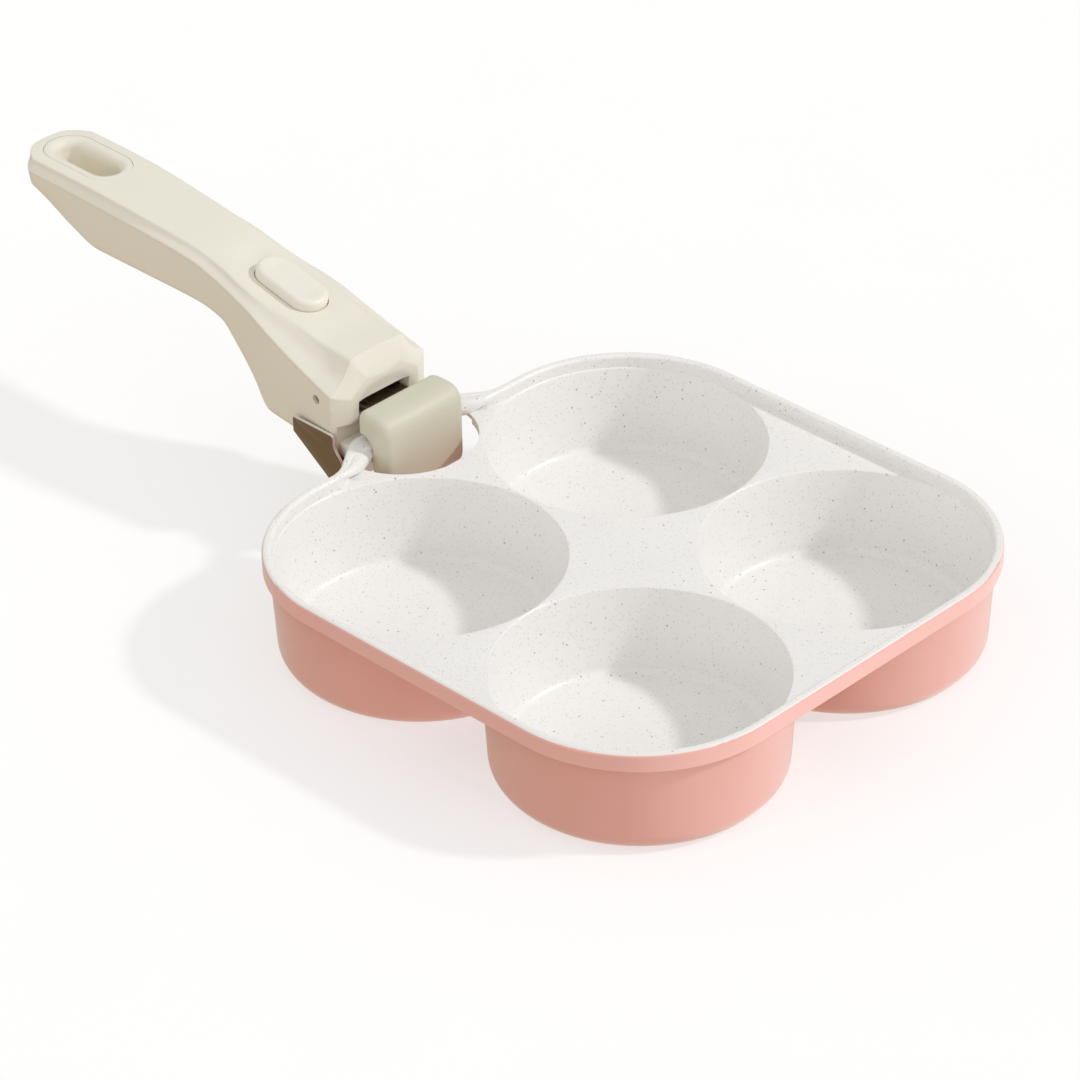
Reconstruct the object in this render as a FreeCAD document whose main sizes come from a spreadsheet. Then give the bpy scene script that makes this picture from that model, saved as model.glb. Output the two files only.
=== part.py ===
import FreeCAD, Part
import math
import os
import re
import Sketcher

# Four-cup breakfast pan with a detachable clamp handle.
# The pan's centre line runs along X with the handle towards -X, Z is up, and the cups stand on Z = 0.
# Pieces are drawn about the pan's centre, and each finished node is then moved along X
# so that the origin lies under the middle of the whole object.

# Driving dimensions: name, millimetres (or degrees, or a count), and what it measures

SIZES = [
    # Pan
    ("cup_spacing", 92, "centre of one cup to the centre of the next"),
    ("cup_mouth_radius", 45.2, "inside of a cup at the web"),
    ("cup_mouth_wall", 1.8, "cup wall at the web"),
    ("cup_mouth_bevel", 0.6, "bevelled lip of a cup"),
    ("cup_depth", 29, "web top down to the cup floor"),
    ("cup_draft", 3.3, "how much the inside narrows from mouth to floor"),
    ("cup_outer_draft", 1.8, "how much the outside narrows from web to base"),
    ("cup_floor_round", 3, "inside corner at the floor"),
    ("cup_base_round", 7, "outside corner at the base"),
    ("floor_thickness", 5, "cup floor"),
    ("web_thickness", 3, "plate that joins the cups"),
    ("rim_rise", 4.3, "rim top above the web"),
    ("rim_width", 3, "rim lip"),
    ("rim_round", 1.2, "rounded edges of the rim's top"),
    ("band_height", 5.9, "outer face of the rim"),
    ("band_overhang", 2, "rim beyond the cup walls"),
    # Lug that the handle clamps
    ("lug_reach", 11, "lug beyond the rim"),
    ("lug_tip_width", 38, "straight outer edge of the lug, before its corners are rounded"),
    ("lug_root_width", 68, "lug where it leaves the rim"),
    ("lug_tip_round", 9, "outer corners of the lug"),
    ("lug_root_round", 12, "blend from lug to rim"),
    ("bar_width", 8.3, "bar between the lug's outer edge and its hole"),
    ("hole_radius", 24.4, "round side of the lug's hole"),
    ("hole_inset", 5, "centre of that round side, in from the lug's outer edge"),
    # Handle shell
    ("nose_gap", 1, "bar to the front face of the handle"),
    ("nose_bulge", 5, "front face beyond the arris behind it"),
    ("nose_inset", 3.5, "front face inside that arris"),
    ("nose_wall", 1.2, "front wall behind the arris"),
    ("lip_gap", 0.4, "bar to the lip under the front face"),
    ("lip_rise", 12, "height of that lip"),
    ("lip_width", 37, "width of that lip"),
    ("grip_length", 160.5, "front arris to the tip"),
    ("grip_height", 52, "lowest to highest point of the handle"),
    ("grip_width", 42, "widest point of the handle"),
    ("belly_drop", 5, "lowest point of the handle below the web"),
    ("shell_wall", 3, "side walls"),
    ("cover_wall", 2.4, "top wall"),
    ("belly_floor", 2.5, "floor under the clamp"),
    ("deck_thickness", 2, "deck over the lever's channel"),
    ("seam_gap", 0.1, "parting line between the two halves"),
    ("tip_radius", 17, "rounded tip, seen from above"),
    ("arch_width", 31, "shallow arch round the mouth"),
    ("arch_rise", 12, "height of that arch"),
    ("arch_round", 10, "corners of that arch"),
    ("arch_depth", 1.6, "depth of that arch"),
    ("mouth_width", 20.4, "mouth that the jaw comes out of"),
    ("mouth_headroom", 2.5, "open mouth above the tongue"),
    # Hanging hole
    ("collar_length", 36, "collar round the hanging hole"),
    ("collar_width", 18.4, "width of that collar"),
    ("collar_tip_gap", 4.3, "collar to the tip of the handle"),
    ("hang_length", 27, "hanging hole"),
    ("hang_width", 11, "width of the hanging hole"),
    ("hang_round", 3, "rounded mouth of the hanging hole"),
    # Clamp
    ("pivot_setback", 7.5, "lever pin behind the front arris"),
    ("pivot_rise", 14.3, "lever pin above the web"),
    ("pin_radius", 1.6, "lever pin"),
    ("bush_wall", 1, "bushes on the lever pin"),
    ("hub_radius", 5, "lever round its pin"),
    ("boss_wall", 1.6, "bosses round pins and screws"),
    ("crank_radius", 9.5, "lever pin to crank pin"),
    ("crank_pin_radius", 1.5, "crank pin"),
    ("lever_swing", 25, "how far the lever opens, in degrees"),
    ("lever_width", 9.6, "lever core"),
    ("lever_height", 7, "lever and its pad, under the grip"),
    ("pad_thickness", 2.4, "lever pad"),
    ("pad_width", 16.4, "lever pad"),
    ("lever_tail_share", 0.714, "where the lever ends, along the grip"),
    ("tail_gap", 2.5, "lever's end to the end of its channel"),
    ("side_gap", 0.5, "clearance beside the lever"),
    ("tongue_rise", 8.6, "underside of the tongue above the web"),
    ("tongue_thickness", 2.6, "tongue"),
    ("tongue_width", 18, "tongue"),
    ("ear_drop", 7.4, "tongue's ears below the tongue"),
    ("ear_wall", 2.2, "ear in front of and below the crank slot"),
    ("ear_length", 9, "tongue's ears"),
    ("slide_gap", 0.4, "clearance round the tongue"),
    ("slot_gap", 0.15, "clearance round the crank pin"),
    ("fit_gap", 0.02, "clearance of pins, rivets and screws in their holes"),
    ("turn_gap", 0.05, "clearance of turning pins"),
    # Jaw
    ("jaw_width", 35, "jaw block"),
    ("jaw_gap", 0.35, "jaw to the bar"),
    ("jaw_thickness", 7.2, "part of the jaw that hangs in the hole"),
    ("jaw_top", 15.2, "jaw's top above the web"),
    ("jaw_drop", 12.5, "jaw's lower end below the web"),
    ("jaw_overhang", 7, "jaw that reaches back over the bar"),
    ("jaw_clear", 2.6, "jaw above the bar"),
    ("jaw_round", 3.6, "rounded edges of the jaw"),
    ("jaw_front_round", 7, "rounded front of the jaw's top"),
    ("rivet_radius", 1.4, "rivets"),
    ("rivet_spacing", 10, "jaw rivets"),
    ("rivet_length", 6, "jaw rivets"),
    # Bracket
    ("plate_thickness", 1.2, "bracket plate"),
    ("cheek_length", 22.5, "bracket's side plates"),
    ("cheek_rise", 9.8, "top of the side plates above the belly"),
    ("chin_drop", 7.5, "bracket's front plate below the belly"),
    ("chin_gap", 0.9, "bar to the bracket's front plate"),
    ("bracket_gap", 0.3, "bracket to the handle"),
    ("screw_radius", 1.3, "screws"),
    ("head_radius", 2.6, "screw heads"),
    ("head_height", 1.6, "screw heads"),
    ("bracket_screw_length", 8, "bracket screws under the head"),
    ("bracket_screw_spacing", 28, "bracket screws"),
    ("cover_screw_length", 8, "cover screws under the head"),
    # Springs
    ("wire_radius", 0.35, "spring wire"),
    ("coil_radius", 1.8, "spring coils, to the middle of the wire"),
    ("jaw_spring_length", 12, "jaw springs"),
    ("spring_pin_radius", 1.1, "pins in the jaw springs"),
    ("spring_pin_length", 9, "free length of those pins"),
    ("spring_seat", 3.5, "ribs that carry those pins"),
    ("coil_turns", 6, "turns of the jaw's and button's springs"),
    ("pawl_coil_turns", 4, "turns of the pawl's spring"),
    # Button and latch
    ("button_length", 28.5, "button"),
    ("button_width", 13.5, "button"),
    ("button_rise", 3.5, "button above the cover"),
    ("button_round", 1.6, "rounded edge of the button"),
    ("button_tilt", 12.3, "slope of the cover under the button, in degrees"),
    ("button_gap", 0.3, "clearance round the button"),
    ("flange_width", 1.2, "flange that keeps the button in"),
    ("flange_thickness", 1.4, "flange"),
    ("button_stroke", 2, "how far the button is pressed"),
    ("stem_length", 1.2, "stem under the flange"),
    ("stem_thickness", 1.2, "stem"),
    ("stem_width", 7, "stem"),
    ("pawl_width", 7, "latch pawl"),
    ("pawl_thickness", 2, "arms of the pawl"),
    ("pawl_pin_radius", 1.2, "pawl pin"),
    ("pawl_arm", 7, "pawl pin to the end of the arm under the button"),
    ("pawl_leg", 7.5, "pawl pin down to the nose's underside"),
    ("pawl_nose", 5.9, "pawl pin to the nose, forwards"),
    ("latch_gap", 1.1, "pawl's nose to the lever's hook, drawn apart"),
    ("hook_head", 2.2, "head of the lever's hook"),
    ("hook_depth", 3.5, "head of the lever's hook, front to back"),
    # Cutting
    ("overrun", 6, "how far a cut runs past the solid"),
]

# Handle sections from the front arris to the tip, as shares of its length, height and half width

ALONG_SHARES = [0, 0.075, 0.15, 0.212, 0.262, 0.312, 0.368, 0.442, 0.586, 0.748, 0.822, 0.903, 1]
TOP_SHARES = [0.646, 0.66, 0.706, 0.744, 0.779, 0.813, 0.858, 0.902, 0.948, 0.985, 0.992, 0.996, 1]
CREASE_SHARES = [0.435, 0.506, 0.583, 0.654, 0.704, 0.738, 0.781, 0.833, 0.869, 0.894, 0.902, 0.908, 0.912]
BOTTOM_SHARES = [0, 0, 0, 0, 0.185, 0.342, 0.487, 0.525, 0.529, 0.531, 0.615, 0.75, 0.869]
FLAT_SHARES = [0.548, 0.533, 0.538, 0.562, 0.567, 0.548, 0.51, 0.49, 0.529, 0.571, 0.576, 0.581, 0.581]
SIDE_SHARES = [1, 0.962, 0.919, 0.876, 0.819, 0.762, 0.719, 0.705, 0.714, 0.724, 0.724, 0.724, 0.724]
LOWER_SIDE_SHARE = 0.95
EDGE_SHARE = 0.1

# Places in the handle, as shares of its length and of its height

BUTTON_PLACE_SHARES = (0.245, 0.768)
PAWL_PLACE_SHARES = (0.277, 0.615)
COVER_SCREW_SHARES = {"front": (0.42, 0.885), "rear": (0.645, 0.955)}
LEVER_RIVET_SHARES = (0.06, 0.2)
BAY_FLOOR_SHARE = 0.433
BRIDGE_TOP_SHARE = 0.468
HUB_JOIN_SHARE = 0.7

# Stations where one part of the handle ends and the next begins

LAST_HOLLOW = 9
LAST_STATION = 12
BELLY_END = 3
BAY_END = 5

doc = FreeCAD.newDocument("breakfast_pan")
sheet = doc.addObject("Spreadsheet::Sheet", "sizes")
for row, (alias, amount, meaning) in enumerate(SIZES, start=1):
    sheet.set(f"A{row}", meaning)
    sheet.set(f"B{row}", str(amount))
    sheet.setAlias(f"B{row}", alias)
doc.recompute()
LEVEL_TOLERANCE = 1000 * Part.Precision.confusion()
ALIASES = re.compile(r"\b(" + "|".join(alias for alias, amount, meaning in SIZES) + r")\b")


# Helpers that bind the model to the sheet


def formula(text):
    """Write a formula of size names the way the document's expressions spell it."""
    return ALIASES.sub(r"sizes.\1", text)


def number(text):
    """The present value of a formula."""
    return float(sheet.evalExpression(formula(text)))


def bind(thing, name, text):
    thing.setExpression(name, formula(text))


def body(name):
    return doc.addObject("PartDesign::Body", name)


def origin_feature(owner, role):
    return next(feature for feature in owner.Origin.OriginFeatures if feature.Role == role)


def sketch(owner, plane, lift="0", shift="0"):
    """A sketch on one of the body's own planes, lifted along its normal and shifted along its first axis."""
    drawing = owner.newObject("Sketcher::SketchObject", owner.Name + "_sketch")
    drawing.AttachmentSupport = (origin_feature(owner, plane), [""])
    drawing.MapMode = "FlatFace"
    bind(drawing, "AttachmentOffset.Base.z", lift)
    bind(drawing, "AttachmentOffset.Base.x", shift)
    return drawing


def place(drawing, geometry, position, x, y):
    """Hold one point of a sketch at a formula's place."""
    for kind, text in (("DistanceX", x), ("DistanceY", y)):
        rule = Sketcher.Constraint(kind, -1, 1, geometry, position, number(text))
        bind(drawing, f"Constraints[{drawing.addConstraint(rule)}]", text)


def radius(drawing, geometry, text):
    rule = Sketcher.Constraint("Radius", geometry, number(text))
    bind(drawing, f"Constraints[{drawing.addConstraint(rule)}]", text)


def outline(drawing, corners):
    """A closed outline of straight sides; each corner is (x, y) or, where it is rounded, (x, y, radius)."""
    points = [FreeCAD.Vector(number(corner[0]), number(corner[1]), 0) for corner in corners]
    count = len(points)
    starts = {}
    ends = {}
    rounds = {}
    for index, corner in enumerate(corners):
        here = points[index]
        starts[index] = here
        ends[index] = here
        if len(corner) == 3:
            back = (points[index - 1] - here).normalize()
            ahead = (points[(index + 1) % count] - here).normalize()
            half_angle = back.getAngle(ahead) / 2
            size = number(corner[2])
            middle_way = (back + ahead).normalize()
            ends[index] = here + back * (size / math.tan(half_angle))
            starts[index] = here + ahead * (size / math.tan(half_angle))
            rounds[index] = here + middle_way * (size / math.sin(half_angle) - size)
    sides = []
    for index in range(count):
        line = Part.LineSegment(starts[index], ends[(index + 1) % count])
        sides.append(drawing.addGeometry(line))
    for index, corner in enumerate(corners):
        before = sides[index - 1]
        after = sides[index]
        if index not in rounds:
            drawing.addConstraint(Sketcher.Constraint("Coincident", before, 2, after, 1))
            place(drawing, after, 1, corner[0], corner[1])
            continue
        arc = drawing.addGeometry(Part.Arc(ends[index], rounds[index], starts[index]))
        arc_start = drawing.getPoint(arc, 1)
        forward = arc_start.distanceToPoint(ends[index]) < arc_start.distanceToPoint(starts[index])
        first, last = (1, 2) if forward else (2, 1)
        drawing.addConstraint(Sketcher.Constraint("Tangent", before, 2, arc, first))
        drawing.addConstraint(Sketcher.Constraint("Tangent", arc, last, after, 1))
        radius(drawing, arc, corner[2])
        vertex = drawing.addGeometry(Part.Point(points[index]), True)
        drawing.addConstraint(Sketcher.Constraint("PointOnObject", vertex, 1, before))
        drawing.addConstraint(Sketcher.Constraint("PointOnObject", vertex, 1, after))
        place(drawing, vertex, 1, corner[0], corner[1])


def circle(drawing, x, y, size):
    ring = drawing.addGeometry(
        Part.Circle(FreeCAD.Vector(number(x), number(y), 0), FreeCAD.Vector(0, 0, 1), number(size)))
    place(drawing, ring, 3, x, y)
    radius(drawing, ring, size)


def bulge(drawing, centre, edge, size):
    """A D: a straight edge across the first axis, and a round side about a centre on that axis."""
    middle = FreeCAD.Vector(number(centre), 0, 0)
    reach = number(size)
    half_chord = math.sqrt(reach ** 2 - (number(edge) - middle.x) ** 2)
    low = FreeCAD.Vector(number(edge), -half_chord, 0)
    high = FreeCAD.Vector(number(edge), half_chord, 0)
    arc = drawing.addGeometry(Part.Arc(low, middle + FreeCAD.Vector(reach, 0, 0), high))
    line = drawing.addGeometry(Part.LineSegment(high, low))
    drawing.addConstraint(Sketcher.Constraint("Coincident", arc, 2, line, 1))
    drawing.addConstraint(Sketcher.Constraint("Coincident", arc, 1, line, 2))
    drawing.addConstraint(Sketcher.Constraint("Vertical", line))
    place(drawing, arc, 3, centre, "0")
    radius(drawing, arc, size)
    rule = Sketcher.Constraint("DistanceX", -1, 1, line, 1, number(edge))
    bind(drawing, f"Constraints[{drawing.addConstraint(rule)}]", edge)


def capsule(drawing, x, length, width):
    """A long round-ended outline along the first axis, centred at x."""
    half = number(f"({width})/2")
    reach = number(f"({length})/2 - ({width})/2")
    middle = number(x)
    corners = [
        FreeCAD.Vector(middle - reach, half, 0),
        FreeCAD.Vector(middle - reach - half, 0, 0),
        FreeCAD.Vector(middle - reach, -half, 0),
        FreeCAD.Vector(middle + reach, -half, 0),
        FreeCAD.Vector(middle + reach + half, 0, 0),
        FreeCAD.Vector(middle + reach, half, 0),
    ]
    left = drawing.addGeometry(Part.Arc(*corners[:3]))
    low = drawing.addGeometry(Part.LineSegment(corners[2], corners[3]))
    right = drawing.addGeometry(Part.Arc(*corners[3:]))
    high = drawing.addGeometry(Part.LineSegment(corners[5], corners[0]))
    for one, other in ((left, low), (low, right), (right, high), (high, left)):
        drawing.addConstraint(Sketcher.Constraint("Tangent", one, 2, other, 1))
    place(drawing, left, 3, f"({x}) - (({length}) - ({width}))/2", "0")
    place(drawing, right, 3, f"({x}) + (({length}) - ({width}))/2", "0")
    radius(drawing, right, f"({width})/2")


def extrude(owner, kind, drawing, length, both_ways=False, backwards=False):
    feature = owner.newObject("PartDesign::" + kind, owner.Name + "_" + kind.lower())
    feature.Profile = drawing
    feature.SideType = "Symmetric" if both_ways else "One side"
    feature.Reversed = backwards
    bind(feature, "Length", length)
    return feature


def turn(owner, kind, drawing):
    """Spin a sketch about its own second axis."""
    feature = owner.newObject("PartDesign::" + kind, owner.Name + "_" + kind.lower())
    feature.Profile = drawing
    feature.ReferenceAxis = (drawing, ["V_Axis"])
    feature.Angle = 360
    return feature


def repeat_round(owner, feature, count):
    pattern = owner.newObject("PartDesign::PolarPattern", owner.Name + "_pattern")
    pattern.Originals = [feature]
    pattern.Axis = (origin_feature(owner, "Z_Axis"), [""])
    pattern.Angle = 360
    pattern.Occurrences = count
    owner.Tip = pattern


def loft(owner, kind, drawings):
    feature = owner.newObject("PartDesign::" + kind, owner.Name + "_" + kind.lower())
    feature.Profile = drawings[0]
    feature.Sections = drawings[1:]
    feature.Ruled = True
    return feature


def round_edges(owner, size, chosen):
    """Round the edges of the body so far for which chosen(edge) is true."""
    doc.recompute()
    base = owner.Tip
    names = [f"Edge{index}" for index, edge in enumerate(base.Shape.Edges, start=1) if chosen(edge)]
    feature = owner.newObject("PartDesign::Fillet", owner.Name + "_fillet")
    feature.Base = (base, names)
    bind(feature, "Radius", size)
    return feature


def level_with(edge, level):
    return all(abs(vertex.Z - level) < LEVEL_TOLERANCE for vertex in edge.Vertexes)


def within(edge, half_width):
    return all(abs(vertex.Y) < half_width for vertex in edge.Vertexes)


def rod(name, size, length, x, y, z, across=False):
    """A round rod that stands up from its place, or lies along Y with its middle there."""
    piece = doc.addObject("Part::Cylinder", name)
    bind(piece, "Radius", size)
    bind(piece, "Height", length)
    if across:
        piece.Placement.Rotation = FreeCAD.Rotation(FreeCAD.Vector(1, 0, 0), -90)
        y = f"({y}) - ({length})/2"
    for axis, text in (("x", x), ("y", y), ("z", z)):
        bind(piece, "Placement.Base." + axis, text)
    return piece


def rod_along(name, size, length, x, y, z):
    """A round rod that runs from its place towards +X."""
    piece = doc.addObject("Part::Cylinder", name)
    bind(piece, "Radius", size)
    bind(piece, "Height", length)
    piece.Placement.Rotation = FreeCAD.Rotation(FreeCAD.Vector(0, 1, 0), 90)
    for axis, text in (("x", x), ("y", y), ("z", z)):
        bind(piece, "Placement.Base." + axis, text)
    return piece


def fuse(name, base, tool):
    piece = doc.addObject("Part::Fuse", name)
    piece.Base = base
    piece.Tool = tool
    return piece


def cut(name, base, tool):
    piece = doc.addObject("Part::Cut", name)
    piece.Base = base
    piece.Tool = tool
    return piece


def group(name, pieces):
    bundle = doc.addObject("Part::Compound", name)
    bundle.Links = pieces
    return bundle


def coil(name, length, turns, x, y, z):
    """A coil spring that runs from its place towards the body's own +Z."""
    spring = body(name)
    drawing = sketch(spring, "XZ_Plane")
    circle(drawing, "coil_radius", "wire_radius", "wire_radius")
    feature = spring.newObject("PartDesign::AdditiveHelix", name + "_helix")
    feature.Profile = drawing
    feature.ReferenceAxis = (drawing, ["V_Axis"])
    feature.Mode = "height-turns-angle"
    bind(feature, "Height", f"{length} - 2*wire_radius")
    bind(feature, "Turns", turns)
    for axis, text in (("x", x), ("y", y), ("z", z)):
        bind(spring, "Placement.Base." + axis, text)
    return spring


# Places that several pieces share, as formulas of the sizes

WEB_TOP = "(floor_thickness + cup_depth)"
CUP = "(cup_spacing/2)"
CUP_OUTER = "(cup_mouth_radius + cup_mouth_wall)"
RIM_HALF = f"({CUP} + {CUP_OUTER} + band_overhang)"
RIM_TOP = f"({WEB_TOP} + rim_rise)"
BAND_BOTTOM = f"({RIM_TOP} - band_height)"
BAR_OUT = f"({RIM_HALF} + lug_reach)"
BAR_IN = f"({BAR_OUT} - bar_width)"
FACE = f"({BAR_OUT} + nose_gap)"
ARRIS = f"({FACE} + nose_bulge)"
INSIDE = f"({ARRIS} + nose_wall)"
TIP = f"({ARRIS} + grip_length)"
PAN_X = f"({TIP} - {RIM_HALF})/2"
BELLY = f"({WEB_TOP} - belly_drop)"
PIVOT_X = f"({ARRIS} + pivot_setback)"
PIVOT_Z = f"({WEB_TOP} + pivot_rise)"
CRANK_X = f"({PIVOT_X} + crank_radius*sin(lever_swing/2))"
CRANK_Z = f"({PIVOT_Z} - crank_radius*cos(lever_swing/2))"
JAW_TRAVEL = "(2*crank_radius*sin(lever_swing/2))"
TONGUE_LOW = f"({WEB_TOP} + tongue_rise)"
TONGUE_TOP = f"({TONGUE_LOW} + tongue_thickness)"
EAR_FRONT = f"({INSIDE} + {JAW_TRAVEL} + slide_gap)"
EAR_BACK = f"({EAR_FRONT} + ear_length)"
SEAT_X = f"({EAR_BACK} + jaw_spring_length + slide_gap)"
EAR_Y = "(tongue_width/2)"
EAR_IN_Y = "(lever_width/2 + side_gap)"
SPRING_Y = f"(({EAR_Y} + {EAR_IN_Y})/2)"
SPRING_Z = f"({TONGUE_LOW} - tongue_thickness)"
CHANNEL_HALF = "(pad_width/2 + side_gap)"
TAIL = f"({ARRIS} + grip_length*lever_tail_share)"
HOLLOW_END = f"({TAIL} + tail_gap)"
RIVET_X = f"({BAR_IN} - jaw_gap + jaw_overhang/2)"
RIVET_LOW = f"({RIM_TOP} + jaw_clear + seam_gap)"
HANG_X = f"({TIP} - collar_tip_gap - collar_length/2)"
FLANGE_LOW = "(cover_wall + button_gap + flange_thickness)"


def eased(shares, station):
    """A share at a station, or halfway between two of them on an even curve through their neighbours."""
    before = math.floor(station)
    if before == station:
        return shares[before]
    after = before + 1
    rise = shares[after] - shares[before]
    steepness = []
    for middle in (before, after):
        if middle in (0, len(shares) - 1):
            steepness.append(rise)
            continue
        run_back = ALONG_SHARES[middle] - ALONG_SHARES[middle - 1]
        run_on = ALONG_SHARES[middle + 1] - ALONG_SHARES[middle]
        slope_back = (shares[middle] - shares[middle - 1]) / run_back
        slope_on = (shares[middle + 1] - shares[middle]) / run_on
        slope = 0
        if slope_back * slope_on > 0:
            slope = 2 * slope_back * slope_on / (slope_back + slope_on)
        steepness.append(slope * (ALONG_SHARES[after] - ALONG_SHARES[before]))
    return round((shares[before] + shares[after]) / 2 + (steepness[0] - steepness[1]) / 8, 4)


def fine_stations(first, last):
    """The stations between two of them, with one halfway between each pair."""
    return [step / 2 for step in range(2 * first, 2 * last + 1)]


def height(share):
    return f"({BELLY} + grip_height*{share})"


def lengthwise(share):
    return f"({ARRIS} + grip_length*{share})"


def along(station):
    share = ALONG_SHARES[math.floor(station)]
    if share != ALONG_SHARES[math.ceil(station)]:
        share = round((share + ALONG_SHARES[math.ceil(station)]) / 2, 4)
    return lengthwise(share)


def top(station):
    return height(eased(TOP_SHARES, station))


def crease(station):
    return height(eased(CREASE_SHARES, station))


def bottom(station):
    return height(eased(BOTTOM_SHARES, station))


def flat(station):
    return f"(grip_width/2*{eased(FLAT_SHARES, station)})"


def side(station):
    return f"(grip_width/2*{eased(SIDE_SHARES, station)})"


def lower_side(station):
    return f"({side(station)}*{LOWER_SIDE_SHARE})"


def lower_edge(station):
    return f"(({crease(station)} - {bottom(station)})*{EDGE_SHARE})"


DECK = f"({bottom(8)} + lever_height + side_gap + deck_thickness)"
BUTTON_X = lengthwise(BUTTON_PLACE_SHARES[0])
BUTTON_Z = height(BUTTON_PLACE_SHARES[1])
PAWL_X = lengthwise(PAWL_PLACE_SHARES[0])
PAWL_Z = height(PAWL_PLACE_SHARES[1])
HOOK_BACK = f"({PAWL_X} - pawl_nose - latch_gap)"
HOOK_LOW = f"({PAWL_Z} - pawl_leg + pawl_thickness + side_gap)"
BAY_FLOOR = height(BAY_FLOOR_SHARE)
BRIDGE_TOP = height(BRIDGE_TOP_SHARE)
SPRING_SPOT = "(button_length/2 - flange_width - coil_radius/2)"
SPRING_EDGE = f"({SPRING_SPOT} + coil_radius + wire_radius)"
SPRING_RISE = f"({BUTTON_Z} - {BRIDGE_TOP} - {SPRING_EDGE}*sin(button_tilt))"
SPRING_DROP = f"({SPRING_RISE}/cos(button_tilt) - seam_gap)"
SPRING_FOOT = f"({BUTTON_X} - {SPRING_SPOT}*cos(button_tilt) + {SPRING_DROP}*sin(button_tilt))"


# Pan


def rounded_square(drawing, half, corner):
    outline(drawing, [(half, half, corner), (f"-{half}", half, corner),
                      (f"-{half}", f"-{half}", corner), (half, f"-{half}", corner)])


def make_pan():
    pan = body("pan_body")
    web = sketch(pan, "XY_Plane", f"{WEB_TOP} - web_thickness")
    rounded_square(web, f"({CUP} + {CUP_OUTER})", CUP_OUTER)
    extrude(pan, "Pad", web, "web_thickness")

    cup = sketch(pan, "XZ_Plane", f"-{CUP}", CUP)
    outline(cup, [("0", "0"), (f"{CUP_OUTER} - cup_outer_draft", "0", "cup_base_round"),
                  (CUP_OUTER, WEB_TOP), ("0", WEB_TOP)])
    repeat_round(pan, turn(pan, "Revolution", cup), 4)

    band = sketch(pan, "XY_Plane", BAND_BOTTOM)
    rounded_square(band, RIM_HALF, f"({CUP_OUTER} + band_overhang)")
    rounded_square(band, f"({RIM_HALF} - rim_width)", f"({CUP_OUTER} + band_overhang - rim_width)")
    extrude(pan, "Pad", band, "band_height")

    lug = sketch(pan, "XY_Plane", BAND_BOTTOM)
    inner = f"-({RIM_HALF} - rim_width)"
    root_end = "(lug_root_width/2 + lug_root_round)"
    outline(lug, [
        (inner, f"-{root_end}"),
        (f"-{RIM_HALF}", f"-{root_end}"),
        (f"-{RIM_HALF}", "-lug_root_width/2", "lug_root_round"),
        (f"-{BAR_OUT}", "-lug_tip_width/2", "lug_tip_round"),
        (f"-{BAR_OUT}", "lug_tip_width/2", "lug_tip_round"),
        (f"-{RIM_HALF}", "lug_root_width/2", "lug_root_round"),
        (f"-{RIM_HALF}", root_end),
        (inner, root_end),
    ])
    extrude(pan, "Pad", lug, "band_height")
    dish = sketch(pan, "XY_Plane", f"{RIM_TOP} + overrun")
    slope = "((lug_root_width - lug_tip_width)/2/lug_reach)"
    arm = f"(rim_width*sqrt(1 + {slope}*{slope}))"
    root_y = f"(lug_root_width/2 + rim_width*{slope} - {arm})"
    bar_y = f"(lug_root_width/2 - (lug_reach - bar_width)*{slope} - {arm})"
    middle = f"-({RIM_HALF} - 2*rim_width)"
    outline(dish, [
        (middle, f"-{root_end}"),
        (inner, f"-{root_end}"),
        (inner, f"-{root_y}", "lug_root_round + rim_width"),
        (f"-{BAR_IN}", f"-{bar_y}", "rim_width"),
        (f"-{BAR_IN}", bar_y, "rim_width"),
        (inner, root_y, "lug_root_round + rim_width"),
        (inner, root_end),
        (middle, root_end),
    ])
    extrude(pan, "Pocket", dish, "rim_rise + overrun")

    hollow = sketch(pan, "XZ_Plane", f"-{CUP}", CUP)
    lip = "(cup_mouth_radius + cup_mouth_bevel)"
    outline(hollow, [
        ("0", "floor_thickness"),
        ("cup_mouth_radius - cup_draft", "floor_thickness", "cup_floor_round"),
        ("cup_mouth_radius", f"{WEB_TOP} - cup_mouth_bevel"),
        (lip, WEB_TOP),
        (lip, f"{WEB_TOP} + overrun"),
        ("0", f"{WEB_TOP} + overrun"),
    ])
    repeat_round(pan, turn(pan, "Groove", hollow), 4)

    hole = sketch(pan, "XY_Plane", f"{RIM_TOP} + overrun")
    bulge(hole, f"-({BAR_OUT} - hole_inset)", f"-{BAR_IN}", "hole_radius")
    extrude(pan, "Pocket", hole, f"{WEB_TOP} + overrun")

    rim_top = number(RIM_TOP)
    round_edges(pan, "rim_round", lambda edge: level_with(edge, rim_top))
    return pan


# Handle shell


def shell_section(owner, station):
    """The handle below its side crease, at one station."""
    drawing = sketch(owner, "YZ_Plane", f"-{along(station)}")
    right = [
        (side(station), crease(station)),
        (lower_side(station), f"{bottom(station)} + {lower_edge(station)}"),
        (f"{lower_side(station)} - {lower_edge(station)}", bottom(station)),
    ]
    left = [(f"-({y})", z) for y, z in reversed(right)]
    outline(drawing, right + left)
    return drawing


def front_section(owner, lift, inset):
    """The whole outline of the handle at its front arris, drawn in by an inset."""
    drawing = sketch(owner, "YZ_Plane", lift)
    right = [
        (f"{flat(0)} - {inset}/2", f"{top(0)} - {inset}"),
        (f"{side(0)} - {inset}", f"{crease(0)} - {inset}/2"),
        (f"{lower_side(0)} - {inset}", f"{bottom(0)} + {lower_edge(0)}"),
        (f"{lower_side(0)} - {lower_edge(0)} - {inset}/2", bottom(0)),
    ]
    left = [(f"-({y})", z) for y, z in reversed(right)]
    outline(drawing, right + left)
    return drawing


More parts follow.
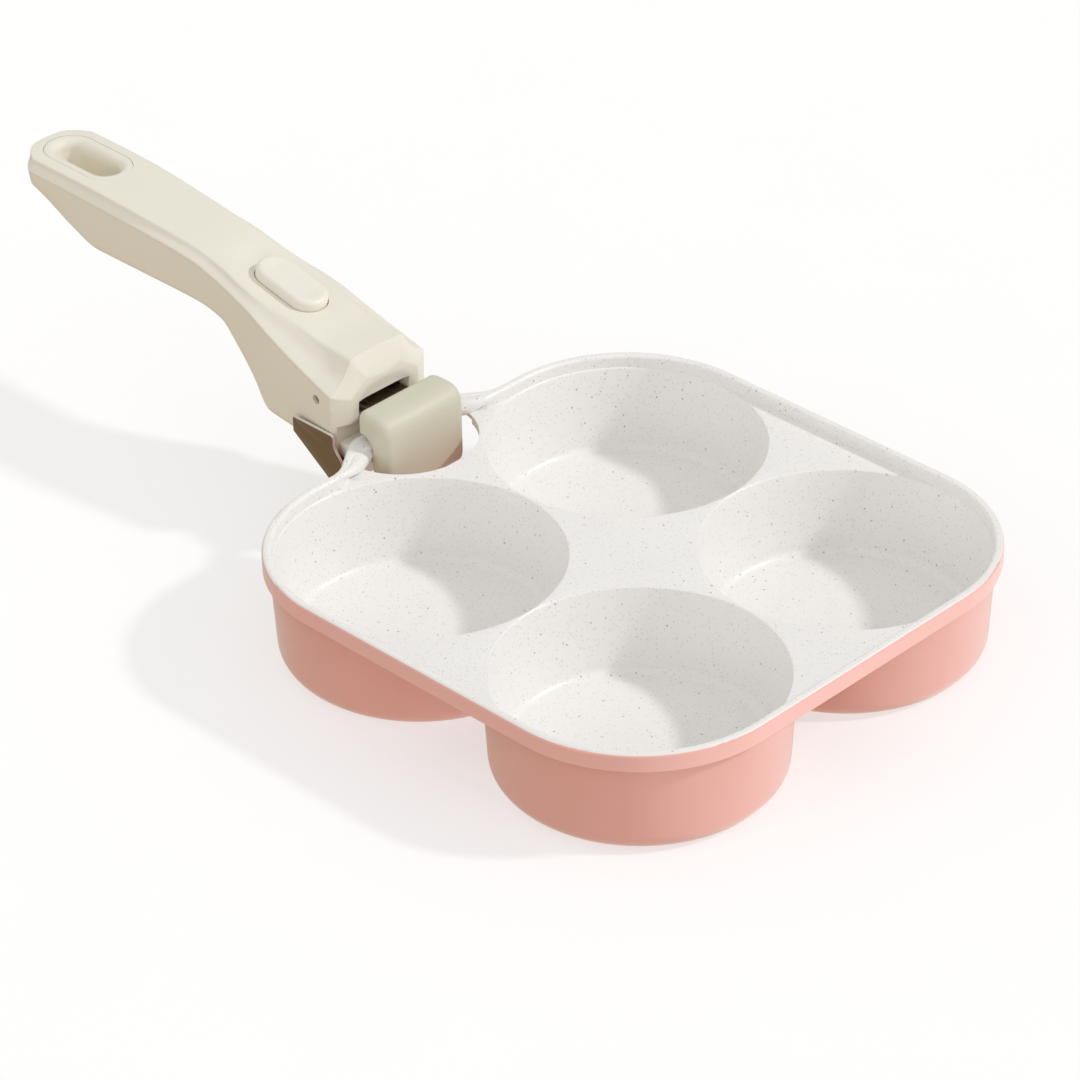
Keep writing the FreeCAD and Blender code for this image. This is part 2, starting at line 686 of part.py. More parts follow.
def top_pocket(owner, front, front_half, back, back_half, floor):
    """Hollow the lower half from above, between two places along the handle."""
    drawing = sketch(owner, "XY_Plane", f"{height(1)} + overrun")
    outline(drawing, [
        (f"-({front})", f"{front_half} - shell_wall"),
        (f"-({back})", f"{back_half} - shell_wall"),
        (f"-({back})", f"-({back_half} - shell_wall)"),
        (f"-({front})", f"-({front_half} - shell_wall)"),
    ])
    extrude(owner, "Pocket", drawing, f"{height(1)} + overrun - ({floor})")


def round_tip(owner):
    """Round the tip, seen from above."""
    drawing = sketch(owner, "XY_Plane", f"{height(1)} + overrun")
    far = f"({TIP} + overrun)"
    wide = "(tip_radius + overrun)"
    start = FreeCAD.Vector(number(f"-({TIP} - tip_radius)"), number("tip_radius"), 0)
    middle = FreeCAD.Vector(number(f"-{TIP}"), 0, 0)
    end = FreeCAD.Vector(start.x, -start.y, 0)
    arc = drawing.addGeometry(Part.Arc(start, middle, end))
    corners = [
        end,
        FreeCAD.Vector(end.x, -number(wide), 0),
        FreeCAD.Vector(-number(far), -number(wide), 0),
        FreeCAD.Vector(-number(far), number(wide), 0),
        FreeCAD.Vector(start.x, number(wide), 0),
        start,
    ]
    lines = [drawing.addGeometry(Part.LineSegment(one, other)) for one, other in zip(corners, corners[1:])]
    for one, other in zip(lines, lines[1:]):
        drawing.addConstraint(Sketcher.Constraint("Coincident", one, 2, other, 1))
    drawing.addConstraint(Sketcher.Constraint("Coincident", arc, 2, lines[0], 1))
    drawing.addConstraint(Sketcher.Constraint("Coincident", arc, 1, lines[-1], 2))
    root = f"-({TIP} - tip_radius)"
    place(drawing, arc, 1, root, "tip_radius")
    place(drawing, arc, 2, root, "-tip_radius")
    rule = Sketcher.Constraint("DistanceX", -1, 1, arc, 3, number(root))
    bind(drawing, f"Constraints[{drawing.addConstraint(rule)}]", root)
    place(drawing, lines[0], 2, root, f"-{wide}")
    place(drawing, lines[1], 2, f"-{far}", f"-{wide}")
    place(drawing, lines[2], 2, f"-{far}", wide)
    place(drawing, lines[3], 2, root, wide)
    extrude(owner, "Pocket", drawing, f"{height(1)} + 2*overrun")


def side_profile(owner, kind, corners, width):
    """Add or cut a shape drawn from the side, over a width across the handle; x counts towards the tip."""
    drawing = sketch(owner, "XZ_Plane")
    outline(drawing, [(f"-({corner[0]})",) + tuple(corner[1:]) for corner in corners])
    return extrude(owner, kind, drawing, width, both_ways=True)


def cross_hole(owner, x, z, size):
    drawing = sketch(owner, "XZ_Plane")
    circle(drawing, f"-({x})", z, size)
    extrude(owner, "Pocket", drawing, "grip_width + overrun", both_ways=True)


def hang_capsule(owner, kind, length, width, lift, depth):
    drawing = sketch(owner, "XY_Plane", lift)
    capsule(drawing, f"-{HANG_X}", length, width)
    return extrude(owner, kind, drawing, depth)


def cover_screw_x(which):
    return lengthwise(COVER_SCREW_SHARES[which][0])


def make_grip_body():
    grip = body("grip_body")
    loft(grip, "AdditiveLoft", [shell_section(grip, station) for station in fine_stations(0, LAST_STATION)])
    wall = front_section(grip, f"-{INSIDE}", "0")
    extrude(grip, "Pad", wall, "nose_wall")
    arris_section = front_section(grip, f"-{ARRIS}", "0")
    loft(grip, "AdditiveLoft", [arris_section, front_section(grip, f"-{FACE}", "nose_inset")])
    side_profile(grip, "Pad", [
        (f"{FACE} + nose_bulge/2", f"{BELLY} + lip_rise"),
        (f"{BAR_OUT} + lip_gap", f"{BELLY} + lip_rise/2"),
        (f"{BAR_OUT} + lip_gap", BELLY),
        (ARRIS, BELLY),
        (ARRIS, f"{BELLY} + lip_rise"),
    ], "lip_width")
    round_tip(grip)

    top_pocket(grip, INSIDE, side(0), along(BELLY_END), side(BELLY_END), f"{BELLY} + belly_floor")
    top_pocket(grip, along(BELLY_END), side(BELLY_END), along(BAY_END), side(BAY_END), BAY_FLOOR)
    button_end = f"({BUTTON_X} + button_length/2 + flange_width + side_gap)"
    flange_floor = f"{DECK} - button_stroke - side_gap"
    top_pocket(grip, along(BAY_END), side(BAY_END), button_end, side(6), flange_floor)
    top_pocket(grip, button_end, side(6), HOLLOW_END, side(7), DECK)

    hang_capsule(grip, "Pad", "collar_length", "collar_width", crease(11), f"{top(10)} - {crease(11)}")
    hang_capsule(grip, "Pocket", "hang_length", "hang_width", f"{height(1)} + overrun", "grip_height")

    # Seats for the jaw springs, the button's spring and the pawl's pin, and bosses for the pins and screws
    seats = sketch(grip, "XY_Plane", f"{BELLY} + belly_floor/2")
    for sign in ("", "-"):
        outline(seats, [
            (f"-{SEAT_X}", f"{sign}{EAR_IN_Y}"),
            (f"-{SEAT_X}", f"{sign}({side(2)} - shell_wall/2)"),
            (f"-({SEAT_X} + spring_seat)", f"{sign}({side(2)} - shell_wall/2)"),
            (f"-({SEAT_X} + spring_seat)", f"{sign}{EAR_IN_Y}"),
        ])
    extrude(grip, "Pad", seats, f"{SPRING_Z} + coil_radius - {BELLY}")
    bridge = sketch(grip, "XZ_Plane")
    bridge_front = f"-({SPRING_FOOT} - coil_radius - 2*wire_radius)"
    bridge_back = f"-({SPRING_FOOT} + coil_radius + 2*wire_radius)"
    outline(bridge, [
        (bridge_front, f"{BRIDGE_TOP} - deck_thickness"),
        (bridge_front, BRIDGE_TOP),
        (bridge_back, BRIDGE_TOP),
        (bridge_back, f"{BRIDGE_TOP} - deck_thickness"),
    ])
    extrude(grip, "Pad", bridge, f"2*{side(3)} - shell_wall", both_ways=True)
    ribs = sketch(grip, "XY_Plane", f"{BAY_FLOOR} - deck_thickness/2")
    for sign in ("", "-"):
        near = f"{sign}{CHANNEL_HALF}"
        far = f"{sign}({CHANNEL_HALF} + deck_thickness)"
        ahead = f"-({PAWL_X} - pawl_pin_radius - boss_wall)"
        behind = f"-({PAWL_X} + pawl_pin_radius + boss_wall)"
        outline(ribs, [(ahead, near), (ahead, far), (behind, far), (behind, near)])
    extrude(grip, "Pad", ribs, f"{PAWL_Z} + pawl_pin_radius + boss_wall - {BAY_FLOOR} + deck_thickness/2")
    for sign, backwards in (("-", False), ("", True)):
        boss = sketch(grip, "XZ_Plane", f"{sign}({side(1)} - shell_wall/2)")
        circle(boss, f"-{PIVOT_X}", PIVOT_Z, "pin_radius + boss_wall")
        extrude(grip, "Pad", boss, f"{side(1)} - shell_wall/2 - {EAR_Y} - slide_gap", backwards=backwards)
    posts = sketch(grip, "XY_Plane", f"{BELLY} + belly_floor/2")
    for sign in ("", "-"):
        circle(posts, f"-{PIVOT_X}", f"{sign}bracket_screw_spacing/2", "screw_radius + boss_wall")
    extrude(grip, "Pad", posts, "bracket_screw_length - belly_floor/2 + boss_wall")
    for which in COVER_SCREW_SHARES:
        boss = sketch(grip, "XY_Plane", f"{DECK} - deck_thickness/2")
        circle(boss, f"-{cover_screw_x(which)}", "0", "head_radius + boss_wall")
        extrude(grip, "Pad", boss, "head_height + deck_thickness/2")

    # Lever channel, arch, mouth, and the holes for pins and screws
    side_profile(grip, "Pocket", [
        (f"{PIVOT_X} - hub_radius/2", f"{BELLY} - overrun"),
        (f"{PIVOT_X} - hub_radius/2", f"{BELLY} + belly_floor + pad_thickness"),
        (along(BELLY_END), f"{BELLY} + belly_floor + pad_thickness"),
        (along(BELLY_END), f"{PAWL_Z} - pawl_thickness"),
        (along(BAY_END), f"{bottom(5)} + lever_height + 3*side_gap"),
        (along(6), f"{bottom(6)} + lever_height + 2*side_gap"),
        (along(7), f"{bottom(8)} + lever_height + side_gap"),
        (HOLLOW_END, f"{bottom(8)} + lever_height + side_gap"),
        (HOLLOW_END, f"{BELLY} - overrun"),
    ], f"2*{CHANNEL_HALF}")
    arch = sketch(grip, "YZ_Plane", f"-{FACE}")
    outline(arch, [
        ("arch_width/2", f"{BELLY} + lip_rise"),
        ("arch_width/2", f"{BELLY} + lip_rise + arch_rise", "arch_round"),
        ("-arch_width/2", f"{BELLY} + lip_rise + arch_rise", "arch_round"),
        ("-arch_width/2", f"{BELLY} + lip_rise"),
    ])
    extrude(grip, "Pocket", arch, "arch_depth")
    mouth = sketch(grip, "YZ_Plane", f"-{BAR_OUT}")
    outline(mouth, [
        ("mouth_width/2", f"{TONGUE_LOW} - slide_gap"),
        ("mouth_width/2", f"{TONGUE_TOP} + mouth_headroom"),
        ("-mouth_width/2", f"{TONGUE_TOP} + mouth_headroom"),
        ("-mouth_width/2", f"{TONGUE_LOW} - slide_gap"),
    ])
    extrude(grip, "Pocket", mouth, f"{INSIDE} - {BAR_OUT} + slide_gap")
    cross_hole(grip, PIVOT_X, PIVOT_Z, "pin_radius + fit_gap")
    pawl_hole = sketch(grip, "XZ_Plane")
    circle(pawl_hole, f"-{PAWL_X}", PAWL_Z, "pawl_pin_radius + fit_gap")
    extrude(grip, "Pocket", pawl_hole, f"2*({CHANNEL_HALF} + deck_thickness)", both_ways=True)
    spring_holes = sketch(grip, "YZ_Plane", f"-{SEAT_X}")
    screw_holes = sketch(grip, "XY_Plane", f"{BELLY} + bracket_screw_length")
    for sign in ("", "-"):
        circle(spring_holes, f"{sign}{SPRING_Y}", SPRING_Z, "spring_pin_radius + fit_gap")
        circle(screw_holes, f"-{PIVOT_X}", f"{sign}bracket_screw_spacing/2", "screw_radius + fit_gap")
    extrude(grip, "Pocket", spring_holes, "spring_seat")
    extrude(grip, "Pocket", screw_holes, "bracket_screw_length + overrun")
    for which in COVER_SCREW_SHARES:
        shank = sketch(grip, "XY_Plane", f"{DECK} + head_height + overrun")
        circle(shank, f"-{cover_screw_x(which)}", "0", "screw_radius + fit_gap")
        extrude(grip, "Pocket", shank, "head_height + deck_thickness + 2*overrun")
        recess = sketch(grip, "XY_Plane", f"{DECK} - deck_thickness + head_height + side_gap")
        circle(recess, f"-{cover_screw_x(which)}", "0", "head_radius + side_gap")
        extrude(grip, "Pocket", recess, "head_height + side_gap + overrun")

    collar_top = number(top(10))
    hang_half = number("(hang_width + collar_width)/4")
    round_edges(grip, "hang_round", lambda edge: level_with(edge, collar_top) and within(edge, hang_half))
    return grip


def cover_section(owner, station, x, hollow):
    """The handle above its side crease at one station: the whole section, or its walls only."""
    drawing = sketch(owner, "YZ_Plane", f"-({x})")
    low = f"({crease(station)} + seam_gap)"
    right = [(flat(station), top(station)), (side(station), low)]
    if hollow:
        slope = f"(({side(station)} - {flat(station)})/({top(station)} - {crease(station)}))"
        inner = f"({side(station)} - shell_wall)"
        ceiling = f"({top(station)} - cover_wall)"
        right.append((inner, low))
        right.append((f"{inner} - ({ceiling} - {low})*{slope}", ceiling))
    left = [(f"-({y})", z) for y, z in reversed(right)]
    outline(drawing, right + left)
    return drawing


def make_grip_cover():
    cover = body("grip_cover")
    stations = [(station, along(station)) for station in fine_stations(0, LAST_HOLLOW)[:-1]]
    stations.append((LAST_HOLLOW, HOLLOW_END))
    loft(cover, "AdditiveLoft", [cover_section(cover, station, x, True) for station, x in stations])
    stations = [(LAST_HOLLOW, HOLLOW_END)]
    stations += [(station, along(station)) for station in fine_stations(LAST_HOLLOW, LAST_STATION)[1:]]
    loft(cover, "AdditiveLoft", [cover_section(cover, station, x, False) for station, x in stations])
    front = f"({INSIDE} + seam_gap)"
    trim = sketch(cover, "XY_Plane", f"{height(1)} + overrun")
    ahead = f"-({ARRIS} - overrun)"
    outline(trim, [
        (f"-{front}", "grip_width"),
        (ahead, "grip_width"),
        (ahead, "-grip_width"),
        (f"-{front}", "-grip_width"),
    ])
    extrude(cover, "Pocket", trim, "grip_height + overrun")
    plate = sketch(cover, "YZ_Plane", f"-{front}")
    right = [
        (f"{flat(0)} - side_gap", f"{top(0)} - side_gap"),
        (f"{side(1)} - 2*side_gap", f"{crease(0.5)} + seam_gap"),
    ]
    outline(plate, right + [(f"-({y})", z) for y, z in reversed(right)])
    extrude(cover, "Pad", plate, "cover_wall", backwards=True)
    round_tip(cover)

    for which, (place_share, top_share) in COVER_SCREW_SHARES.items():
        boss = sketch(cover, "XY_Plane", f"{DECK} + head_height + seam_gap")
        circle(boss, f"-{cover_screw_x(which)}", "0", "screw_radius + boss_wall")
        extrude(cover, "Pad", boss, f"{height(top_share)} - cover_wall/2 - {DECK} - head_height")
        screw_top = f"{DECK} - deck_thickness + head_height + side_gap + cover_screw_length"
        hole = sketch(cover, "XY_Plane", screw_top)
        circle(hole, f"-{cover_screw_x(which)}", "0", "screw_radius + fit_gap")
        extrude(cover, "Pocket", hole, "cover_screw_length")

    collar_room = ("collar_length + 2*seam_gap", "collar_width + 2*seam_gap")
    hang_capsule(cover, "Pocket", *collar_room, f"{height(1)} + overrun", "grip_height")

    opening = sketch(cover, "XY_Plane")
    opening.AttachmentOffset = FreeCAD.Placement(
        FreeCAD.Vector(0, 0, 0), FreeCAD.Rotation(FreeCAD.Vector(0, 1, 0), number("button_tilt")))
    bind(opening, "AttachmentOffset.Rotation.Angle", "button_tilt")
    bind(opening, "AttachmentOffset.Base.x", f"-{BUTTON_X}")
    bind(opening, "AttachmentOffset.Base.z", BUTTON_Z)
    capsule(opening, "0", "button_length + 2*button_gap", "button_width + 2*button_gap")
    extrude(cover, "Pocket", opening, "4*cover_wall", both_ways=True)
    return cover


# Clamp


def make_bracket():
    bracket = body("front_bracket")
    outer = f"({lower_side(0)} + bracket_gap + 2*plate_thickness)"
    low = f"({BELLY} - bracket_gap)"
    front = f"({BAR_OUT} + chin_gap)"
    cheek = [
        (f"{front} + cheek_length", f"{BELLY} + cheek_rise"),
        (f"{ARRIS} - nose_wall", f"{BELLY} + cheek_rise"),
        (f"{ARRIS} - nose_wall", f"{BELLY} + cheek_rise/2", "plate_thickness"),
        (front, f"{BELLY} + plate_thickness"),
        (front, f"{BELLY} - chin_drop"),
        (f"{ARRIS} + nose_wall", f"{BELLY} - chin_drop"),
        (f"{front} + cheek_length", f"{BELLY} + cheek_rise/3"),
    ]
    side_profile(bracket, "Pad", cheek, f"2*{outer}")
    room = sketch(bracket, "XZ_Plane")
    corners = [
        (f"{front} + cheek_length + overrun", f"{BELLY} + cheek_rise + overrun"),
        (f"{front} - overrun", f"{BELLY} + cheek_rise + overrun"),
        (f"{front} - overrun", low),
        (f"{front} + cheek_length + overrun", low),
    ]
    outline(room, [(f"-({x})", z) for x, z in corners])
    extrude(bracket, "Pocket", room, f"2*({outer} - plate_thickness)", both_ways=True)
    under = sketch(bracket, "XZ_Plane")
    floor_end = f"({PIVOT_X} + head_radius + bracket_gap)"
    corners = [
        (f"{front} + plate_thickness", f"{low} - plate_thickness"),
        (floor_end, f"{low} - plate_thickness"),
        (floor_end, f"{low} + overrun"),
        (f"{front} + cheek_length + overrun", f"{low} + overrun"),
        (f"{front} + cheek_length + overrun", f"{BELLY} - chin_drop - overrun"),
        (f"{front} + plate_thickness", f"{BELLY} - chin_drop - overrun"),
    ]
    outline(under, [(f"-({x})", z) for x, z in corners])
    extrude(bracket, "Pocket", under, f"2*({outer} - plate_thickness)", both_ways=True)
    gap = sketch(bracket, "XY_Plane", f"{BELLY} + cheek_rise")
    ends = (f"-({front} + plate_thickness + nose_bulge)", f"-({front} + cheek_length + overrun)")
    half = f"({CHANNEL_HALF} + side_gap)"
    outline(gap, [(ends[0], half), (ends[1], half), (ends[1], f"-{half}"), (ends[0], f"-{half}")])
    extrude(bracket, "Pocket", gap, "cheek_rise + chin_drop + overrun")
    holes = sketch(bracket, "XY_Plane", BELLY)
    for sign in ("", "-"):
        circle(holes, f"-{PIVOT_X}", f"{sign}bracket_screw_spacing/2", "screw_radius + fit_gap")
    extrude(bracket, "Pocket", holes, "overrun")
    return bracket


def make_tongue():
    tongue = body("jaw_tongue")
    plate = sketch(tongue, "XY_Plane", TONGUE_LOW)
    tip = f"-({BAR_IN} - jaw_gap - jaw_thickness/3)"
    web_back = f"-({PIVOT_X} - hub_radius - slide_gap)"
    back = f"-{EAR_BACK}"
    left_half = [(tip, EAR_Y), (back, EAR_Y), (back, EAR_IN_Y), (web_back, EAR_IN_Y)]
    outline(plate, left_half + [(x, f"-{y}") for x, y in reversed(left_half)])
    extrude(tongue, "Pad", plate, "tongue_thickness")
    ears = sketch(tongue, "XY_Plane", f"{TONGUE_LOW} - ear_drop")
    for sign in ("", "-"):
        outline(ears, [(f"-{EAR_FRONT}", f"{sign}{EAR_Y}"), (back, f"{sign}{EAR_Y}"),
                       (back, f"{sign}{EAR_IN_Y}"), (f"-{EAR_FRONT}", f"{sign}{EAR_IN_Y}")])
    extrude(tongue, "Pad", ears, "ear_drop")
    slot = sketch(tongue, "XZ_Plane")
    half = "(crank_pin_radius + slot_gap)"
    low = f"({TONGUE_LOW} - ear_drop + ear_wall/2)"
    high = f"({CRANK_Z} + crank_pin_radius + 4*slot_gap)"
    outline(slot, [(f"-({CRANK_X} - {half})", low), (f"-({CRANK_X} - {half})", high),
                   (f"-({CRANK_X} + {half})", high), (f"-({CRANK_X} + {half})", low)])
    extrude(tongue, "Pocket", slot, "tongue_width + overrun", both_ways=True)
    holes = sketch(tongue, "XY_Plane", f"{TONGUE_TOP} + overrun")
    for sign in ("", "-"):
        circle(holes, f"-{RIVET_X}", f"{sign}rivet_spacing/2", "rivet_radius + fit_gap")
    extrude(tongue, "Pocket", holes, "tongue_thickness + 2*overrun")
    return tongue


def make_jaw():
    jaw = body("jaw_block")
    front = f"({BAR_IN} - jaw_gap - jaw_thickness)"
    hook = f"({BAR_IN} - jaw_gap)"
    back = f"({BAR_IN} - jaw_gap + jaw_overhang)"
    roof = f"({RIM_TOP} + jaw_clear)"
    side_profile(jaw, "Pad", [
        (back, roof),
        (back, f"{WEB_TOP} + jaw_top - jaw_round"),
        (f"{back} - jaw_round", f"{WEB_TOP} + jaw_top", "jaw_round"),
        (front, f"{WEB_TOP} + jaw_top", "jaw_front_round"),
        (front, f"{WEB_TOP} - jaw_drop", "jaw_round/2"),
        (hook, f"{WEB_TOP} - jaw_drop", "jaw_round/2"),
        (hook, f"{RIM_TOP} + jaw_gap"),
        (f"{hook} + jaw_clear", roof),
    ], "jaw_width")
    slot = sketch(jaw, "YZ_Plane", f"-({back} + overrun)")
    half = f"({EAR_Y} + fit_gap)"
    outline(slot, [(half, f"{TONGUE_LOW} - fit_gap"), (half, f"{TONGUE_TOP} + fit_gap"),
                   (f"-{half}", f"{TONGUE_TOP} + fit_gap"), (f"-{half}", f"{TONGUE_LOW} - fit_gap")])
    extrude(jaw, "Pocket", slot, "jaw_overhang + overrun + jaw_thickness/3 + seam_gap", backwards=True)
    holes = sketch(jaw, "XY_Plane", f"{RIVET_LOW} + rivet_length")
    for sign in ("", "-"):
        circle(holes, f"-{RIVET_X}", f"{sign}rivet_spacing/2", "rivet_radius + fit_gap")
    extrude(jaw, "Pocket", holes, "rivet_length + overrun")
    return jaw


def lever_line():
    """Where the lever's pad meets its core, from front to back."""
    line = [(f"{PIVOT_X} + pivot_setback", f"{BELLY} + pad_thickness + seam_gap")]
    for station in (3, 4, 5, 6, 7):
        line.append((along(station), f"{bottom(station)} + pad_thickness + seam_gap"))
    line.append((TAIL, f"{bottom(8)} + pad_thickness + seam_gap"))
    return line


def make_lever():
    lever = body("clamp_lever")
    line = lever_line()
    upper = [(TAIL, f"{bottom(8)} + lever_height")]
    upper += [(along(station), f"{bottom(station)} + lever_height - {drop}") for station, drop in
              ((7, "0"), (6, "0"), (5, "pad_thickness/3"))]
    upper += [
        (f"{along(3)} + hook_depth", f"{bottom(4)} + lever_height - pad_thickness/2"),
        (f"{PIVOT_X} + 2*pivot_setback", f"{bottom(4)} + lever_height - pad_thickness/2"),
        (PIVOT_X, f"{PIVOT_Z} + hub_radius*{HUB_JOIN_SHARE}"),
        (PIVOT_X, f"{PIVOT_Z} - hub_radius*{HUB_JOIN_SHARE}"),
    ]
    side_profile(lever, "Pad", line + upper, "lever_width")
    hub = sketch(lever, "XZ_Plane")
    circle(hub, f"-{PIVOT_X}", PIVOT_Z, "hub_radius")
    extrude(lever, "Pad", hub, "lever_width", both_ways=True)
    half = "(crank_pin_radius + boss_wall)"
    side_profile(lever, "Pad", [
        (f"{PIVOT_X} - {half}", PIVOT_Z),
        (f"{CRANK_X} - {half}", CRANK_Z),
        (f"{CRANK_X} + {half}", CRANK_Z),
        (f"{PIVOT_X} + {half}", PIVOT_Z),
    ], "lever_width")
    lobe = sketch(lever, "XZ_Plane")
    circle(lobe, f"-{CRANK_X}", CRANK_Z, half)
    extrude(lever, "Pad", lobe, "lever_width", both_ways=True)
    side_profile(lever, "Pad", [
        (f"{HOOK_BACK} - hook_depth", f"{bottom(4)} + lever_height/2"),
        (f"{HOOK_BACK} - hook_depth", f"{HOOK_LOW} + hook_head"),
        (HOOK_BACK, f"{HOOK_LOW} + hook_head"),
        (HOOK_BACK, HOOK_LOW),
        (f"{HOOK_BACK} - hook_depth/2", HOOK_LOW),
        (f"{HOOK_BACK} - hook_depth/2", f"{bottom(4)} + lever_height/2"),
    ], "lever_width")
    cross_hole(lever, PIVOT_X, PIVOT_Z, "pin_radius + turn_gap + bush_wall + fit_gap")
    cross_hole(lever, CRANK_X, CRANK_Z, "crank_pin_radius + fit_gap")
    rivet_holes(lever)
    return lever


def lever_rivet_x(share):
    return f"({TAIL} - grip_length*{share})"


def rivet_holes(owner):
    for share in LEVER_RIVET_SHARES:
        hole = sketch(owner, "XY_Plane", f"{bottom(8)} + lever_height - seam_gap - fit_gap")
        circle(hole, f"-{lever_rivet_x(share)}", "0", "rivet_radius + fit_gap")
        extrude(owner, "Pocket", hole, "lever_height - pad_thickness/2")


def make_lever_pad():
    pad = body("lever_pad")
    line = lever_line()
    under = [(TAIL, f"{bottom(8)} + seam_gap")]
    under += [(along(station), f"{bottom(station)} + seam_gap") for station in (7, 6, 5, 4, 3)]
    under.append((f"{PIVOT_X} + pivot_setback", f"{BELLY} + seam_gap"))
    side_profile(pad, "Pad", line + under, "pad_width")
    rivet_holes(pad)
    return pad


def make_bushes():
    sleeves = []
    length = f"({EAR_Y} + slide_gap/2 - side_gap)"
    for name, sign in (("left_bush", "-"), ("right_bush", "")):
        middle = (f"-{PIVOT_X}", f"{sign}({EAR_Y} + slide_gap/2 + side_gap)/2", PIVOT_Z)
        outer = rod(name + "_outside", "pin_radius + turn_gap + bush_wall", length, *middle, across=True)
        bore = rod(name + "_bore", "pin_radius + turn_gap", f"{length} + overrun", *middle, across=True)
        sleeves.append(cut(name, outer, bore))
    return group("lever_bushes", sleeves)


def make_screw(name, length, x, y, z):
    """A screw with its head's top at z, pointing up."""
    head = rod(name + "_head", "head_radius", "head_height", x, y, z)
    shank = rod(name + "_shank", "screw_radius", f"head_height + {length}", x, y, z)
    return fuse(name, head, shank)


def make_fasteners():
    low = f"{BELLY} - bracket_gap - plate_thickness - head_height"
    bracket_screws = [
        make_screw(name, "bracket_screw_length + bracket_gap + plate_thickness - seam_gap",
                   f"-{PIVOT_X}", f"{sign}bracket_screw_spacing/2", low)
        for name, sign in (("left_bracket_screw", ""), ("right_bracket_screw", "-"))]
    seat = f"{DECK} - deck_thickness + side_gap"
    cover_screws = [
        make_screw(f"{which}_cover_screw", "cover_screw_length - seam_gap",
                   f"-{cover_screw_x(which)}", "0", seat)
        for which in COVER_SCREW_SHARES]
    jaw_rivets = [
        rod(name, "rivet_radius", "rivet_length - seam_gap",
            f"-{RIVET_X}", f"{sign}rivet_spacing/2", RIVET_LOW)
        for name, sign in (("left_jaw_rivet", ""), ("right_jaw_rivet", "-"))]
    lever_rivets = [
        rod(f"lever_rivet_{count}", "rivet_radius", "lever_height - pad_thickness/2 - 2*seam_gap",
            f"-{lever_rivet_x(share)}", "0", f"{bottom(8)} + pad_thickness/2")
        for count, share in enumerate(LEVER_RIVET_SHARES, start=1)]
    return {
        "bracket_screws": group("bracket_screws", bracket_screws),
        "cover_screws": group("cover_screws", cover_screws),
        "jaw_rivets": group("jaw_rivets", jaw_rivets),
        "lever_rivets": group("lever_rivets", lever_rivets),
    }


def make_pins():
    spring_pins = [
        rod_along(name, "spring_pin_radius", "spring_pin_length + spring_seat - seam_gap",
                  f"-({SEAT_X} + spring_seat - seam_gap)", f"{sign}{SPRING_Y}", SPRING_Z)
        for name, sign in (("left_spring_pin", ""), ("right_spring_pin", "-"))]
    lever_length = f"2*({side(1)} - plate_thickness)"
    lever_rod = rod("lever_rod", "pin_radius", lever_length, f"-{PIVOT_X}", "0", PIVOT_Z, across=True)
    crank_rod = rod("crank_rod", "crank_pin_radius", "tongue_width",
                    f"-{CRANK_X}", "0", CRANK_Z, across=True)
    pawl_length = f"2*({CHANNEL_HALF} + deck_thickness)"
    pawl_rod = rod("pawl_rod", "pawl_pin_radius", pawl_length, f"-{PAWL_X}", "0", PAWL_Z, across=True)
    return {
        "lever_pin": group("lever_pin", [lever_rod]),
        "crank_pin": group("crank_pin", [crank_rod]),
        "pawl_pin": group("pawl_pin", [pawl_rod]),
        "spring_pins": group("spring_pins", spring_pins),
    }


def make_springs():
    jaw_springs = []
    for name, sign in (("left_jaw_spring", ""), ("right_jaw_spring", "-")):
        spring = coil(name, "jaw_spring_length", "coil_turns",
                      f"-({SEAT_X} - slide_gap/2)", f"{sign}{SPRING_Y}", SPRING_Z)
        spring.Placement.Rotation = FreeCAD.Rotation(FreeCAD.Vector(0, 1, 0), 90)
        jaw_springs.append(spring)
    return group("jaw_springs", jaw_springs)


# Button and latch, the button drawn about its own tilted axis


def tilt(piece):
    piece.Placement.Rotation = FreeCAD.Rotation(FreeCAD.Vector(0, 1, 0), number("button_tilt"))
    bind(piece, "Placement.Rotation.Angle", "button_tilt")
    bind(piece, "Placement.Base.z", BUTTON_Z)


def make_button():
    button = body("release_button")
    cap = sketch(button, "XY_Plane", "-(cover_wall + button_gap + flange_thickness/2)")
    capsule(cap, "0", "button_length", "button_width")
    extrude(button, "Pad", cap, "button_rise + cover_wall + button_gap + flange_thickness/2")
    flange = sketch(button, "XY_Plane", f"-{FLANGE_LOW}")
    capsule(flange, "0", "button_length + 2*flange_width", "button_width + 2*flange_width")
    extrude(button, "Pad", flange, "flange_thickness")
    stem_low = f"({FLANGE_LOW} + stem_length)"
    stem = sketch(button, "XY_Plane", f"-{stem_low}")
    reach = f"({BUTTON_X} - {PAWL_X} + pawl_arm - stem_thickness)"
    stem_x = f"({reach}/cos(button_tilt) + {stem_low}*tan(button_tilt))"
    outline(stem, [
        (f"{stem_x} - stem_thickness/2", "stem_width/2"),
        (f"{stem_x} + stem_thickness/2", "stem_width/2"),
        (f"{stem_x} + stem_thickness/2", "-stem_width/2"),
        (f"{stem_x} - stem_thickness/2", "-stem_width/2"),
    ])
    extrude(button, "Pad", stem, "stem_length + flange_thickness/2")
    cap_top = number("button_rise")
    round_edges(button, "button_round", lambda edge: level_with(edge, cap_top))
    tilt(button)
    return button


def make_button_spring():
    """The coil under the button's front end, about the button's own tilted axis."""
    length = f"({SPRING_DROP} - {FLANGE_LOW} - seam_gap)"
    spring = coil("button_coil", length, "coil_turns", SPRING_SPOT, "0", f"-{SPRING_DROP}")
    bundle = group("button_spring", [spring])
    tilt(bundle)
    return bundle


